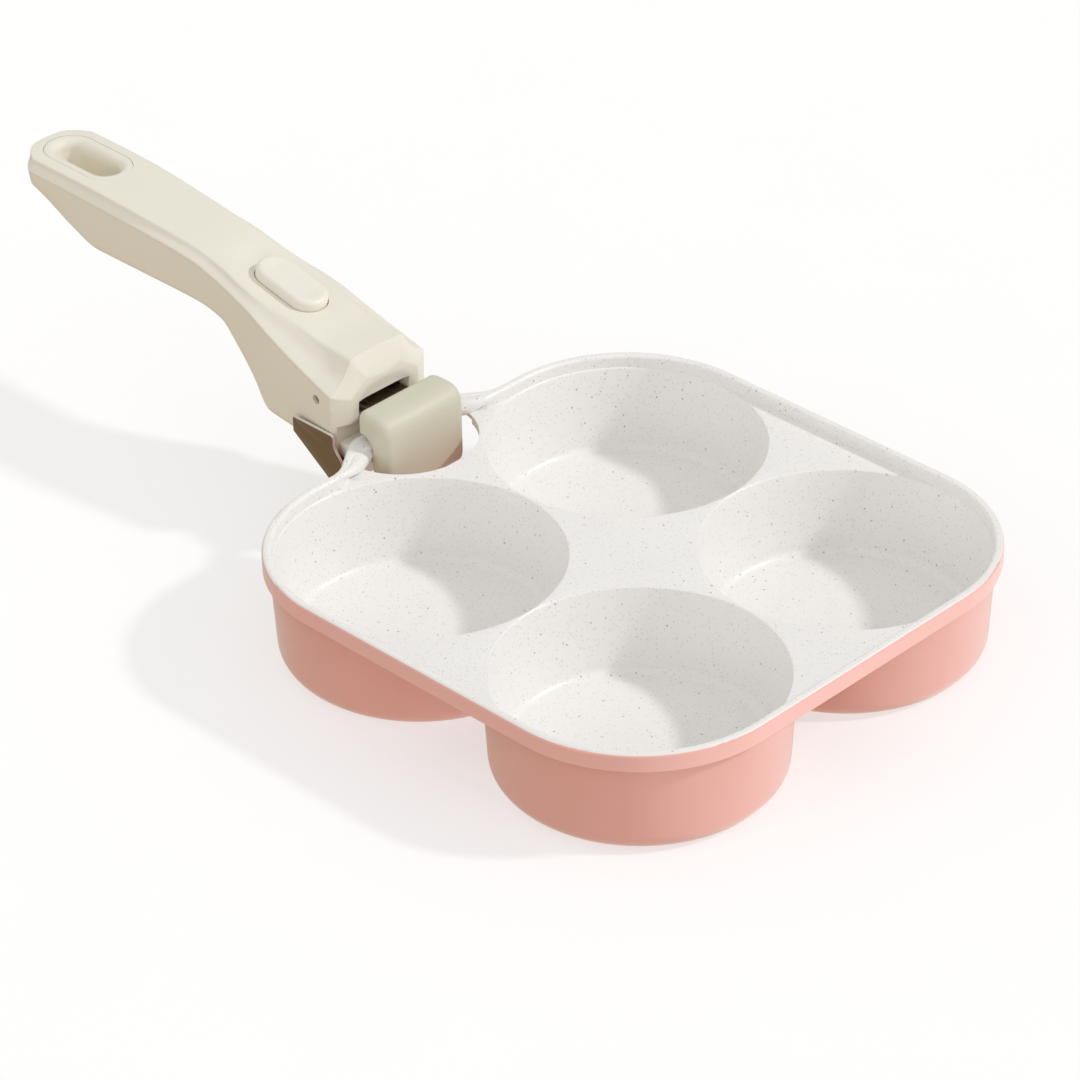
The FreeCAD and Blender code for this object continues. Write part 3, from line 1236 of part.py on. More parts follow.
def make_pawl_spring():
    """The coil on the pawl's pin, beside the pawl."""
    room = f"({CHANNEL_HALF} - pawl_width/2 - 2*side_gap)"
    spring = coil("pawl_coil", room, "pawl_coil_turns", f"-{PAWL_X}", "pawl_width/2 + side_gap", PAWL_Z)
    spring.Placement.Rotation = FreeCAD.Rotation(FreeCAD.Vector(1, 0, 0), -90)
    return group("pawl_spring", [spring])


def make_pawl():
    pawl = body("latch_pawl")
    arm_top = f"({PAWL_Z} + pawl_pin_radius + boss_wall/2)"
    side_profile(pawl, "Pad", [
        (f"{PAWL_X} + pawl_pin_radius + boss_wall", arm_top),
        (f"{PAWL_X} - pawl_arm", arm_top),
        (f"{PAWL_X} - pawl_arm", f"{arm_top} - pawl_thickness"),
        (f"{PAWL_X} - pawl_pin_radius - boss_wall", f"{PAWL_Z} - pawl_pin_radius - boss_wall"),
        (f"{PAWL_X} - pawl_pin_radius", f"{PAWL_Z} - pawl_leg + pawl_thickness"),
        (f"{PAWL_X} - pawl_nose", f"{PAWL_Z} - pawl_leg + pawl_thickness"),
        (f"{PAWL_X} - pawl_nose", f"{PAWL_Z} - pawl_leg"),
        (f"{PAWL_X} + pawl_pin_radius", f"{PAWL_Z} - pawl_leg"),
        (f"{PAWL_X} + pawl_pin_radius + boss_wall", f"{PAWL_Z} - pawl_pin_radius - boss_wall"),
    ], "pawl_width")
    cross_hole(pawl, PAWL_X, PAWL_Z, "pawl_pin_radius + turn_gap")
    return pawl


def make_all():
    nodes = {
        "pan_body": make_pan(),
        "grip_body": make_grip_body(),
        "grip_cover": make_grip_cover(),
        "front_bracket": make_bracket(),
        "jaw_tongue": make_tongue(),
        "jaw_block": make_jaw(),
        "clamp_lever": make_lever(),
        "lever_pad": make_lever_pad(),
        "lever_bushes": make_bushes(),
        "jaw_springs": make_springs(),
        "release_button": make_button(),
        "button_spring": make_button_spring(),
        "latch_pawl": make_pawl(),
        "pawl_spring": make_pawl_spring(),
    }
    nodes.update(make_fasteners())
    nodes.update(make_pins())
    return nodes


nodes = make_all()
TILTED_NODES = ("release_button", "button_spring")
for name, node in nodes.items():
    node.Label = name
    shift = f"{PAN_X} - {BUTTON_X}" if name in TILTED_NODES else PAN_X
    bind(node, "Placement.Base.x", shift)
doc.recompute()
for thing in doc.Objects:
    if "Invalid" in thing.State or "Error" in thing.State:
        raise RuntimeError(f"{thing.Name}: {thing.getStatusString()}")
for name, node in nodes.items():
    if node.Shape.isNull() or not node.Shape.isValid():
        raise RuntimeError(f"{name} has no valid shape")
os.makedirs("parts", exist_ok=True)
for name, node in nodes.items():
    node.Shape.exportStep(f"parts/{name}.step")
    print(name, len(node.Shape.Solids), round(node.Shape.Volume), node.Shape.BoundBox)
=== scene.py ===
# %% [markdown]
# # A four-cup breakfast pan with a clamp handle
# This file is a lesson in dressing a CAD model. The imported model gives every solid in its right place, in
# metres. Each cell below takes one piece or one finish of the real pan, says how it could be made in
# Blender and why it is made the way it is, and prints what came out.

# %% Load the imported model
import math

import bmesh
import bpy
import numpy as np
from mathutils import Matrix, Vector


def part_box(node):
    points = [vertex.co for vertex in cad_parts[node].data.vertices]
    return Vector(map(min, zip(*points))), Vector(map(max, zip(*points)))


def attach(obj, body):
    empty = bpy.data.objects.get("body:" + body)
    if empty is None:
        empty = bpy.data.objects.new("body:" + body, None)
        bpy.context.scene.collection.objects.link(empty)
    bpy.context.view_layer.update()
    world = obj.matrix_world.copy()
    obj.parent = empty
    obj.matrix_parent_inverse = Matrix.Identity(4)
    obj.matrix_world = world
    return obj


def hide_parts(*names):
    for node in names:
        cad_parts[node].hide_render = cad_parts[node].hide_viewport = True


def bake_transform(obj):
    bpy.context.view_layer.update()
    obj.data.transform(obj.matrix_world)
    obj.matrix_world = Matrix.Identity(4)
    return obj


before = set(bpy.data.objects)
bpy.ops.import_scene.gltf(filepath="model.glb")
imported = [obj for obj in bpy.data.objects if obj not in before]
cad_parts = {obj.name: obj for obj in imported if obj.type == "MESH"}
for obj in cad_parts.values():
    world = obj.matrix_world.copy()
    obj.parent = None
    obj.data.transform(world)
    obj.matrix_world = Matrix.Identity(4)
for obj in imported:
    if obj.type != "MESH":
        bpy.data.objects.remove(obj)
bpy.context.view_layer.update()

# %% [markdown]
# ## Places
# The real pan is symmetric about its own centre, so its pieces are easiest to describe in millimetres
# from there. The row frame has its origin under the middle of the whole object, handle included, so one
# shift along X joins the two. Heights are the same in both: nought is the table.

# %% Millimetres about the pan's centre
MM = 0.001
RIM_HALF = 95.0
WEB = 34.0
PAN_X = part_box("pan_body")[1].x / MM - RIM_HALF


def row(x, y, z):
    """A point in millimetres about the pan's centre, in the row frame."""
    return Vector(((x + PAN_X) * MM, y * MM, z * MM))


print("pan centre at X =", round(PAN_X, 3), "mm")

# %% [markdown]
# ## Camera
# A camera can be placed by eye or worked out. Four equal circles are on the pan, and their ellipses in
# the picture fix the view: the camera looks along the diagonal, about 33 degrees down, from well away
# with a long lens. Its place is given by a turn, a rise and a roll about the web's middle, a distance and
# two small shifts.

# %% Camera from the fitted view
VIEW_TURN = math.radians(44.763)
VIEW_RISE = math.radians(32.858)
VIEW_ROLL = math.radians(-0.959)
VIEW_DISTANCE = 1390.482
VIEW_RIGHT = -28.511
VIEW_UP = 3.420
FOCAL_PIXELS = 4518.376
PICTURE_PIXELS = 1080
SENSOR_WIDTH = 36.0

back = Vector((math.sin(VIEW_TURN) * math.cos(VIEW_RISE), -math.cos(VIEW_TURN) * math.cos(VIEW_RISE),
               math.sin(VIEW_RISE)))
level_right = Vector((math.cos(VIEW_TURN), math.sin(VIEW_TURN), 0))
level_up = back.cross(level_right)
right = level_right * math.cos(VIEW_ROLL) + level_up * math.sin(VIEW_ROLL)
up = level_up * math.cos(VIEW_ROLL) - level_right * math.sin(VIEW_ROLL)
eye = right * VIEW_RIGHT + up * VIEW_UP + back * VIEW_DISTANCE
camera_data = bpy.data.cameras.new("photo_camera")
camera_data.sensor_width = SENSOR_WIDTH
camera_data.lens = FOCAL_PIXELS * SENSOR_WIDTH / PICTURE_PIXELS
camera = bpy.data.objects.new("photo_camera", camera_data)
bpy.context.scene.collection.objects.link(camera)
turned = Matrix((right, up, back)).transposed().to_4x4()
camera.matrix_world = Matrix.Translation(row(eye.x, eye.y, eye.z + WEB)) @ turned
bpy.context.scene.camera = camera
eye_place = [round(v, 3) for v in camera.matrix_world.translation]
print("lens", round(camera_data.lens, 1), "mm, eye at", eye_place)

# %% [markdown]
# ## Colours and nodes
# Colours are given as hex values, as a screen shows them. Shaders work in linear light, so
# one function turns a hex value into linear red, green and blue, by the sRGB standard's own curve. One
# more function adds a shader node with its settings and links, and a third starts a material.


# %% Hex to linear, and one function for nodes
def hex_colour(code):
    """An sRGB hex value as linear red, green, blue and alpha."""
    shares = [int(code[i:i + 2], 16) / 255 for i in (1, 3, 5)]
    return tuple(s / 12.92 if s <= 0.04045 else ((s + 0.055) / 1.055) ** 2.4 for s in shares) + (1.0,)


def add_node(tree, kind, inputs=None, **settings):
    """Add a node, set its properties, and set or link its inputs by name or number."""
    node = tree.nodes.new(kind)
    for name, value in settings.items():
        setattr(node, name, value)
    for name, value in (inputs or {}).items():
        if isinstance(value, bpy.types.NodeSocket):
            tree.links.new(value, node.inputs[name])
        else:
            node.inputs[name].default_value = value
    return node


def new_material(name):
    """A material with only a Principled shader, and the Object coordinates that its patterns read."""
    material = bpy.data.materials.new(name)
    material.use_nodes = True
    tree = material.node_tree
    tree.nodes.clear()
    shader = add_node(tree, "ShaderNodeBsdfPrincipled")
    add_node(tree, "ShaderNodeOutputMaterial", {"Surface": shader.outputs[0]})
    place = add_node(tree, "ShaderNodeTexCoord").outputs["Object"]
    return material, tree, shader, place


print("a screen's middle grey is", round(hex_colour("#808080")[0], 3), "of full light")

# %% [markdown]
# ## White ceramic coat
# The inside of the pan has a sol-gel ceramic coat, sprayed on and cured. It is off-white with small grey
# flecks that are sprayed in with it, and it has a soft gloss with a faint ripple like orange peel. Flecks
# of about a millimetre are points of a Voronoi pattern; a second, finer pattern gives the pale dust
# between them.

# %% Ceramic coat with flecks
FLECK_SPACING = 2.6
FLECK_SIZE = 0.75
FLECK_CORE_SHARE = 0.55
FLECK_MISSING_SHARE = 0.3
FLECK_STRENGTH = 0.95
DUST_SPACING = 1.3
DUST_RADIUS = 0.34
DUST_CORE_SHARE = 0.5
DUST_STRENGTH = 0.3
CERAMIC_CLOUD = 38.0
RIPPLE_SIZE = 2.2
RIPPLE_DEPTH = 0.05

ceramic, tree, shader, place = new_material("ceramic_coat_white")
# The flecks differ in strength and some are missing, so that the eye sees spray and no grid.
fleck_edge = FLECK_SIZE / FLECK_SPACING / 2
flecks = add_node(tree, "ShaderNodeTexVoronoi", {"Vector": place, "Scale": 1 / (FLECK_SPACING * MM)})
fleck_body = add_node(tree, "ShaderNodeMapRange", {
    "Value": flecks.outputs["Distance"], "From Min": FLECK_CORE_SHARE * fleck_edge, "From Max": fleck_edge,
    "To Min": 1.0, "To Max": 0.0})
fleck_random = add_node(tree, "ShaderNodeSeparateColor", {"Color": flecks.outputs["Color"]})
fleck_chosen = add_node(tree, "ShaderNodeMapRange", {
    "Value": fleck_random.outputs[0], "From Min": FLECK_MISSING_SHARE, "From Max": 1.0,
    "To Min": 0.0, "To Max": FLECK_STRENGTH})
fleck_mask = add_node(tree, "ShaderNodeMath", {0: fleck_body.outputs[0], 1: fleck_chosen.outputs[0]},
                      operation="MULTIPLY")
# The dust is too faint to be seen dot by dot. It makes the white look dry and warm.
dust_edge = DUST_RADIUS / DUST_SPACING
dust = add_node(tree, "ShaderNodeTexVoronoi", {"Vector": place, "Scale": 1 / (DUST_SPACING * MM)})
dust_body = add_node(tree, "ShaderNodeMapRange", {
    "Value": dust.outputs["Distance"], "From Min": DUST_CORE_SHARE * dust_edge, "From Max": dust_edge,
    "To Min": DUST_STRENGTH, "To Max": 0.0})
cloud = add_node(tree, "ShaderNodeTexNoise", {
    "Vector": place, "Scale": 1 / (CERAMIC_CLOUD * MM), "Detail": 3.0})
base = add_node(tree, "ShaderNodeMix", {
    "Factor": cloud.outputs["Fac"], "A": hex_colour("#EFEDEA"), "B": hex_colour("#F5F3F1")}, data_type="RGBA")
dusted = add_node(tree, "ShaderNodeMix", {
    "Factor": dust_body.outputs[0], "A": base.outputs["Result"], "B": hex_colour("#9C9894")},
    data_type="RGBA")
flecked = add_node(tree, "ShaderNodeMix", {
    "Factor": fleck_mask.outputs[0], "A": dusted.outputs["Result"], "B": hex_colour("#7F7B78")},
    data_type="RGBA")
# The ripple breaks up the soft lights on the cup walls.
ripple = add_node(tree, "ShaderNodeTexNoise", {
    "Vector": place, "Scale": 1 / (RIPPLE_SIZE * MM), "Detail": 1.0})
bump = add_node(tree, "ShaderNodeBump", {
    "Height": ripple.outputs["Fac"], "Strength": 0.12, "Distance": RIPPLE_DEPTH * MM})
tree.links.new(flecked.outputs["Result"], shader.inputs["Base Color"])
tree.links.new(bump.outputs[0], shader.inputs["Normal"])
shader.inputs["Roughness"].default_value = 0.34
shader.inputs["IOR"].default_value = 1.5
print("flecks of", FLECK_SIZE, "mm, one place every", FLECK_SPACING, "mm")

# %% [markdown]
# ## Drifting tone and fine grain
# The lacquer outside and the plastics of the handle have two things in common: their tone drifts a little
# from place to place, and a fine grain softens their shine. Each could be painted by hand. Here a slow
# noise mixes two near tones, and a fine noise drives both the roughness and a slight bump, so one
# function does for all.

# %% Grained finish
GRAIN_LOW = 0.3
GRAIN_HIGH = 0.7
GRAIN_DEPTH = 0.03


def grained_finish(name, dark, light, cloud, grain_size, roughness, relief):
    """A material between two tones with a fine grain, and the nodes that a finish may add to."""
    material, tree, shader, place = new_material(name)
    cloud_size, cloud_detail = cloud
    drift = add_node(tree, "ShaderNodeTexNoise", {
        "Vector": place, "Scale": 1 / (cloud_size * MM), "Detail": cloud_detail})
    grain = add_node(tree, "ShaderNodeTexNoise", {
        "Vector": place, "Scale": 1 / (grain_size * MM), "Detail": 2.0})
    tone = add_node(tree, "ShaderNodeMix", {
        "Factor": drift.outputs["Fac"], "A": hex_colour(dark), "B": hex_colour(light)}, data_type="RGBA")
    grained = add_node(tree, "ShaderNodeMapRange", {
        "Value": grain.outputs["Fac"], "From Min": GRAIN_LOW, "From Max": GRAIN_HIGH,
        "To Min": roughness[0], "To Max": roughness[1]})
    bump = add_node(tree, "ShaderNodeBump", {
        "Height": grain.outputs["Fac"], "Strength": relief, "Distance": GRAIN_DEPTH * MM})
    tree.links.new(tone.outputs["Result"], shader.inputs["Base Color"])
    tree.links.new(grained.outputs[0], shader.inputs["Roughness"])
    tree.links.new(bump.outputs[0], shader.inputs["Normal"])
    return material, tree, shader, place, tone


print("grain", GRAIN_DEPTH, "mm deep")

# %% [markdown]
# ## Pink outside coat
# The outside is a heat-proof silicone lacquer over cast aluminium, sprayed and baked. It is salmon pink
# and satin, and it shows a very fine grain where the spray dried. The grain is drawn at half a
# millimetre, coarser than the real one, so that it shows at all. A sheen gives the pale look that the dry
# spray has at a flat angle.

# %% Salmon lacquer
LACQUER_CLOUD = (30.0, 4.0)
LACQUER_GRAIN = 0.5
LACQUER_RELIEF = 0.2


def sprayed_lacquer(name, dark, light, roughness):
    """Baked silicone lacquer in two near tones, with the nodes that it is made of."""
    finish = grained_finish(name, dark, light, LACQUER_CLOUD, LACQUER_GRAIN, roughness, LACQUER_RELIEF)
    shader = finish[2]
    shader.inputs["IOR"].default_value = 1.5
    shader.inputs["Sheen Weight"].default_value = 0.8
    shader.inputs["Sheen Roughness"].default_value = 0.4
    return finish


lacquer = sprayed_lacquer("silicone_lacquer_salmon", "#E0A197", "#E6ABA1", (0.38, 0.52))[0]
print(lacquer.name, "with a grain of", LACQUER_GRAIN, "mm")

# %% [markdown]
# ## Line between the coats
# Round the rim the pink ends just under the top edge, in a level line. Faces of the mesh could be sorted
# by coat, but their borders would show as a ragged line. So the band round the rim has a material of its
# own that turns from pink to white at one height, and there the line is sharp at any distance. The band's
# pink is painted a little paler than that of the cups: painted light, as the band catches more light than
# the cup walls below it.

# %% Lacquer that meets the ceramic coat
RIM_TOP = 38.3
LINE_UNDER_RIM = 0.42
COAT_LINE = RIM_TOP - LINE_UNDER_RIM
LINE_HALF = 0.08

# The band's paler pinks are painted light: the band catches more light than the cup walls.
coat_edge, tree, shader, place, band_pink_painted_lit = sprayed_lacquer(
    "lacquer_meets_ceramic_at_rim", "#EAB0A7", "#F0B8AF", (0.36, 0.48))
level = add_node(tree, "ShaderNodeSeparateXYZ", {"Vector": place})
over = add_node(tree, "ShaderNodeMapRange", {
    "Value": level.outputs["Z"], "From Min": (COAT_LINE - LINE_HALF) * MM,
    "From Max": (COAT_LINE + LINE_HALF) * MM})
two_coats = add_node(tree, "ShaderNodeMix", {
    "Factor": over.outputs[0], "A": band_pink_painted_lit.outputs["Result"], "B": hex_colour("#ECE9E5")},
    data_type="RGBA")
tree.links.new(two_coats.outputs["Result"], shader.inputs["Base Color"])
print("pink ends at Z =", round(COAT_LINE, 2), "mm")

# %% [markdown]
# ## Plastics
# The handle is a filled nylon moulding in a warm cream. Its mould was lightly spark eroded, so the skin
# is satin with a grain that only a raking light shows. The other plastics are mouldings of the same kind,
# so one function with other colours, grains and roughness does for them. The grain is drawn coarser than
# it is, so that it shows.

# %% Nylon mouldings
NYLON_CLOUD = (24.0, 3.0)
NYLON_RELIEF = 0.25


def moulded_nylon(name, dark, light, grain_size, roughness):
    """A satin nylon moulding with an eroded grain."""
    finish = grained_finish(name, dark, light, NYLON_CLOUD, grain_size, roughness, NYLON_RELIEF)
    shader = finish[2]
    shader.inputs["IOR"].default_value = 1.53
    return finish[0]


# The handle looks soft and dry, the button a little smoother.
handle_nylon = moulded_nylon("filled_nylon_cream", "#E7E3D5", "#ECE8DB", 0.45, (0.42, 0.55))
button_nylon = moulded_nylon("filled_nylon_light_cream", "#EBE7DA", "#EFEBDF", 0.35, (0.36, 0.46))
# The jaw is dull and greenish beside the cream. The pawl inside is black and hardly catches light.
jaw_nylon = moulded_nylon("heatproof_nylon_sage", "#CECBB7", "#D6D3C0", 0.4, (0.45, 0.58))
inner_nylon = moulded_nylon("black_nylon_inside", "#262523", "#2E2D2B", 0.4, (0.5, 0.62))
print("plastics:", [plastic.name for plastic in (handle_nylon, button_nylon, jaw_nylon, inner_nylon)])

# %% [markdown]
# ## Metals
# The bracket is stainless sheet, pressed and polished, with sheared edges. Polished metal mostly
# shows what is round it: the bracket's brown is that of the room, whose lower half is the colour of wood,
# with a slightly warm tint of the metal. The sheared edges are rougher, and their metal is painted near
# white: a painted highlight. The tongue, pins, springs and screws are plain steel, and the tongue's brown
# is a painted reflection of wood. The lever is cast aluminium, and the bushes are brass. Metals keep the
# default index of refraction.

# %% Metals with faint streaks
STREAK_STRETCH = (0.06, 1.0, 1.0)
ROLLED_STREAK = 0.4
CAST_STREAK = 1.2


def metal(name, colour, roughness, streak, streak_size=ROLLED_STREAK):
    """A metal with faint streaks along X, as rolling or turning leaves them."""
    material, tree, shader, place = new_material(name)
    stretched = add_node(tree, "ShaderNodeMapping", {"Vector": place, "Scale": STREAK_STRETCH})
    lines = add_node(tree, "ShaderNodeTexNoise", {
        "Vector": stretched.outputs[0], "Scale": 1 / (streak_size * MM), "Detail": 2.0})
    varied = add_node(tree, "ShaderNodeMapRange", {
        "Value": lines.outputs["Fac"], "From Min": GRAIN_LOW, "From Max": GRAIN_HIGH,
        "To Min": roughness - streak, "To Max": roughness + streak})
    tree.links.new(varied.outputs[0], shader.inputs["Roughness"])
    shader.inputs["Base Color"].default_value = hex_colour(colour)
    shader.inputs["Metallic"].default_value = 1.0
    return material


# The bracket mirrors the room with a slight blur. Its sheared edges are rougher, and their near-white
# metal is a painted highlight.
bracket_steel = metal("polished_stainless_warm", "#92847A", 0.16, 0.06)
sheared_edge_painted_highlight = metal("sheared_stainless_edge", "#F2EEE8", 0.5, 0.06)
# The tongue is rolled plate that shows dark in the mouth; its brown is a painted reflection of wood.
# Pins, springs and screws glint a little.
tongue_steel_painted_reflection = metal("rolled_steel_dark", "#8C7A66", 0.32, 0.08)
bright_steel = metal("bright_steel", "#B9B5AE", 0.26, 0.06)
# The casting of the lever is dull and uneven, the turned bushes are yellow and bright.
cast_aluminium = metal("cast_aluminium", "#A9A8A5", 0.45, 0.1, CAST_STREAK)
turned_brass = metal("turned_brass", "#C9A25A", 0.25, 0.06)
metals = (bracket_steel, sheared_edge_painted_highlight, tongue_steel_painted_reflection, bright_steel, cast_aluminium, turned_brass)
print("metals:", [material.name for material in metals])

# %% [markdown]
# ## Meshes
# Every new piece is a plain mesh whose object stays at the origin, as the CAD nodes are, so that patterns
# on Object coordinates stay put. A mesh could be drawn point by point, but nearly every form here is a
# skin through a row of rings, so one function lofts rings, one makes a piece of points and faces, and one
# puts it on its body.

# %% Make a piece from points and faces
MERGE_DISTANCE = 0.002
SMOOTH_DEGREES = 40.0


def shade(mesh, smooth_degrees=SMOOTH_DEGREES):
    """Merge doubles, point faces outwards, and shade smoothly where faces meet gently."""
    bm = bmesh.new()
    bm.from_mesh(mesh)
    bmesh.ops.remove_doubles(bm, verts=bm.verts, dist=MERGE_DISTANCE * MM)
    bmesh.ops.dissolve_degenerate(bm, edges=bm.edges, dist=MERGE_DISTANCE * MM)
    bmesh.ops.recalc_face_normals(bm, faces=bm.faces)
    for face in bm.faces:
        face.smooth = True
    sharp = math.radians(smooth_degrees)
    for edge in bm.edges:
        edge.smooth = len(edge.link_faces) == 2 and edge.calc_face_angle(0) < sharp
    bm.to_mesh(mesh)
    bm.free()


def finish_piece(name, mesh, materials, smooth_degrees=SMOOTH_DEGREES):
    """Shade a mesh, give it its materials, and link it as an object."""
    shade(mesh, smooth_degrees)
    for material in materials:
        mesh.materials.append(material)
    piece = bpy.data.objects.new(name, mesh)
    bpy.context.scene.collection.objects.link(piece)
    return piece


def new_piece(name, points, faces, materials):
    """A mesh object of points in millimetres about the pan's centre."""
    mesh = bpy.data.meshes.new(name)
    mesh.from_pydata([row(*point) for point in points], [], faces)
    return finish_piece(name, mesh, materials)


def loft(rings, first_end=True, last_end=True):
    """Points and faces of a skin through closed rings, with or without a face at each end."""
    points = [point for ring in rings for point in ring]
    count = len(rings[0])
    faces = []
    for i in range(len(rings) - 1):
        for j in range(count):
            k = (j + 1) % count
            faces.append((i * count + j, i * count + k, (i + 1) * count + k, (i + 1) * count + j))
    if first_end:
        faces.append(tuple(range(count)))
    if last_end:
        faces.append(tuple(range(len(points) - count, len(points))))
    return points, faces


def joined(*skins):
    """Several skins as one list of points and one list of faces."""
    points = []
    faces = []
    for more_points, more_faces in skins:
        faces += [tuple(index + len(points) for index in face) for face in more_faces]
        points += more_points
    return points, faces


def stand_for(piece, body, slot, *nodes):
    """Carry a piece on a body in place of CAD nodes."""
    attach(piece, body)
    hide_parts(*nodes)
    print(piece.name, len(piece.data.polygons), "faces")


print("points within", MERGE_DISTANCE, "mm are merged, edges under", SMOOTH_DEGREES, "degrees are smooth")

# %% [markdown]
# ## Pan
# The casting is exact in CAD, so its own surface is the best start. A copy of it is merged, so that it
# shades smoothly, and a Weighted Normal modifier keeps its large flat faces flat. Then each face takes
# the coat it has on the real pan: white is what can be seen from above inside the rim, the band round the
# rim has the line between the coats, and the rest is pink. A modifier only shows a changed mesh, so its
# result is first taken as the pan's own mesh. Applying by an operator would do the same, but needs the
# pan to be selected.

# %% Two coats on one casting
PINK, WHITE, BAND = range(3)
PAN_SMOOTH = 50.0
CUP_HALF_SPACING = 46.0
CUP_FLOOR_LOW = 4.5
WALL_INWARD = -0.01
WEB_SLACK = 0.1
FACES_UP = 0.5
LEANS_UP = 0.3
LIES_LEVEL = 0.999
HOLE_HALF = 26.0
HOLE_X = (-99.0, -70.0)
HOLE_WALL = 3.2
BAND_LOW = 32.45
BAND_FROM_CUP = 47.5
BAND_OUTWARD = 10.0


def keep_modified(piece):
    """Make what a piece's modifiers show its own mesh, and give that mesh back."""
    bpy.context.view_layer.update()
    graph = bpy.context.evaluated_depsgraph_get()
    modified = bpy.data.meshes.new_from_object(piece.evaluated_get(graph))
    piece.modifiers.clear()
    piece.data = modified
    return modified


def is_band(centre, normal):
    """Whether a face belongs to the band round the rim, outside the cups and the hole."""
    x, y, z = centre
    from_cup = math.hypot(abs(x) - CUP_HALF_SPACING, abs(y) - CUP_HALF_SPACING)
    in_hole = abs(y) < HOLE_HALF and HOLE_X[0] < x < 0
    outward = x * normal.x + y * normal.y > BAND_OUTWARD and normal.z < LIES_LEVEL
    return z > BAND_LOW and outward and from_cup > BAND_FROM_CUP and not in_hole


def is_white(centre, normal):
    """Whether a face has the white coat: in a cup, on top of the web or rim, or in the lug's hole."""
    x, y, z = centre
    from_cup_x = x - math.copysign(CUP_HALF_SPACING, x)
    from_cup_y = y - math.copysign(CUP_HALF_SPACING, y)
    outward = from_cup_x * normal.x + from_cup_y * normal.y
    over_cup = math.hypot(from_cup_x, from_cup_y) < CUP_HALF_SPACING
    in_cup = z > CUP_FLOOR_LOW and over_cup and (outward < WALL_INWARD or normal.z > FACES_UP)
    on_top = z > WEB - WEB_SLACK and (normal.z > LEANS_UP or x * normal.x + y * normal.y < 0)
    at_hole = HOLE_X[0] < x < HOLE_X[1] and abs(y) < HOLE_HALF
    return in_cup or on_top or (at_hole and z > WEB - HOLE_WALL and abs(normal.z) < FACES_UP)


pan_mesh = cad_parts["pan_body"].data.copy()
pan_mesh.materials.clear()
pan = finish_piece("pan_casting", pan_mesh, [lacquer, ceramic, coat_edge], PAN_SMOOTH)
flatten = pan.modifiers.new("flat_faces_stay_flat", "WEIGHTED_NORMAL")
flatten.keep_sharp = True
flatten.weight = 100
for face in keep_modified(pan).polygons:
    spot = face.center / MM
    place_on_pan = (spot.x - PAN_X, spot.y, spot.z)
    if is_band(place_on_pan, face.normal):
        face.material_index = BAND
    else:
        face.material_index = WHITE if is_white(place_on_pan, face.normal) else PINK
stand_for(pan, "pan", "pan_coating", "pan_body")

# %% [markdown]
# ## Bead of the lug
# Where the rim runs out to the bar that the handle grips, its edge swells into a thick round bead. A
# curve with a bevel could give that, but the bead's width changes while its height is held, so rings
# along the lug's edge are lofted instead. They grow from the rim's half width to the bar's, and their top
# stays level with the rim.

# %% Bead from the rim to the bar
# Each place on the bead has an X, a Y and half the bead's width there.
BEAD = [(-101.8, 14.0, 4.1), (-101.2, 17.5, 4.1), (-99.3, 21.2, 3.7), (-96.6, 25.0, 2.8), (-94.2, 29.3, 1.8),
        (-93.5, 34.0, 1.3), (-93.4, 40.0, 1.1)]
BEAD_STEPS = 8
BEAD_TALL = 2.9
BEAD_SIDES = 28


def bead_rings(side):
    """Rings of a tube along one arm of the lug, on a curve that runs smoothly through the places."""
    rings = []
    for k in range((len(BEAD) - 1) * BEAD_STEPS + 1):
        i = min(k // BEAD_STEPS, len(BEAD) - 2)
        t = k / BEAD_STEPS - i
        near = [max(0, min(j, len(BEAD) - 1)) for j in range(i - 1, i + 3)]
        before, start, end, after = (Vector(BEAD[j]) for j in near)
        spot = start + ((end - before) * t + (2 * before - 5 * start + 4 * end - after) * t ** 2
                        + (3 * start - before - 3 * end + after) * t ** 3) / 2
        along = (end - start).to_2d().normalized()
        tall = min(spot.z, BEAD_TALL)
        ring = []
        for angle in np.linspace(0, 2 * math.pi, BEAD_SIDES + 1)[:-1]:
            out = spot.z * math.cos(angle)
            ring.append((spot.x - along.y * out, side * (spot.y + along.x * out),
                         RIM_TOP - tall + tall * math.sin(angle)))
        rings.append(ring)
    return rings


bead = new_piece("lug_bead", *joined(loft(bead_rings(1)), loft(bead_rings(-1))), [ceramic])
stand_for(bead, "pan", "pan_coating", "pan_body")

# %% [markdown]
# ## Handle
# The handle is a long moulding whose section changes all the way: a flat top, a chamfer down to a crease,
# and sides that run down to a round belly. It could be pulled out of a box by subdivision, but then its
# creases would wander. So sections at a few stations are read from the picture, and an even curve through
# them gives as many as the mesh needs. Each section is a polyline whose corners are rounded by short
# curves.

# %% Stations of the handle
# Tops, creases and bottoms are heights over the web; flats and sides are half widths.
STATION_X = [-112, -124, -136, -146, -154, -162, -171, -183, -206, -232, -244, -257, -272.5]
STATION_TOP = [28.6, 29.3, 31.7, 33.7, 35.5, 37.3, 39.6, 41.9, 44.3, 46.2, 46.6, 46.8, 47]
STATION_FLAT = [11.5, 11.2, 11.3, 11.8, 11.9, 11.5, 10.7, 10.3, 11.1, 12, 12.1, 12.2, 12.2]
STATION_CREASE = [17.6, 21.3, 25.3, 29, 31.6, 33.4, 35.6, 38.3, 40.2, 41.5, 41.9, 42.2, 42.4]
STATION_SIDE = [21, 20.2, 19.3, 18.4, 17.2, 16, 15.1, 14.8, 15, 15.2, 15.2, 15.2, 15.2]
STATION_BOTTOM = [-5, -5, -5, -5, 4.6, 12.8, 20.3, 22.3, 22.5, 22.6, 27, 34, 40.2]
NOSE_X = -112.3
TIP_X = -272.5


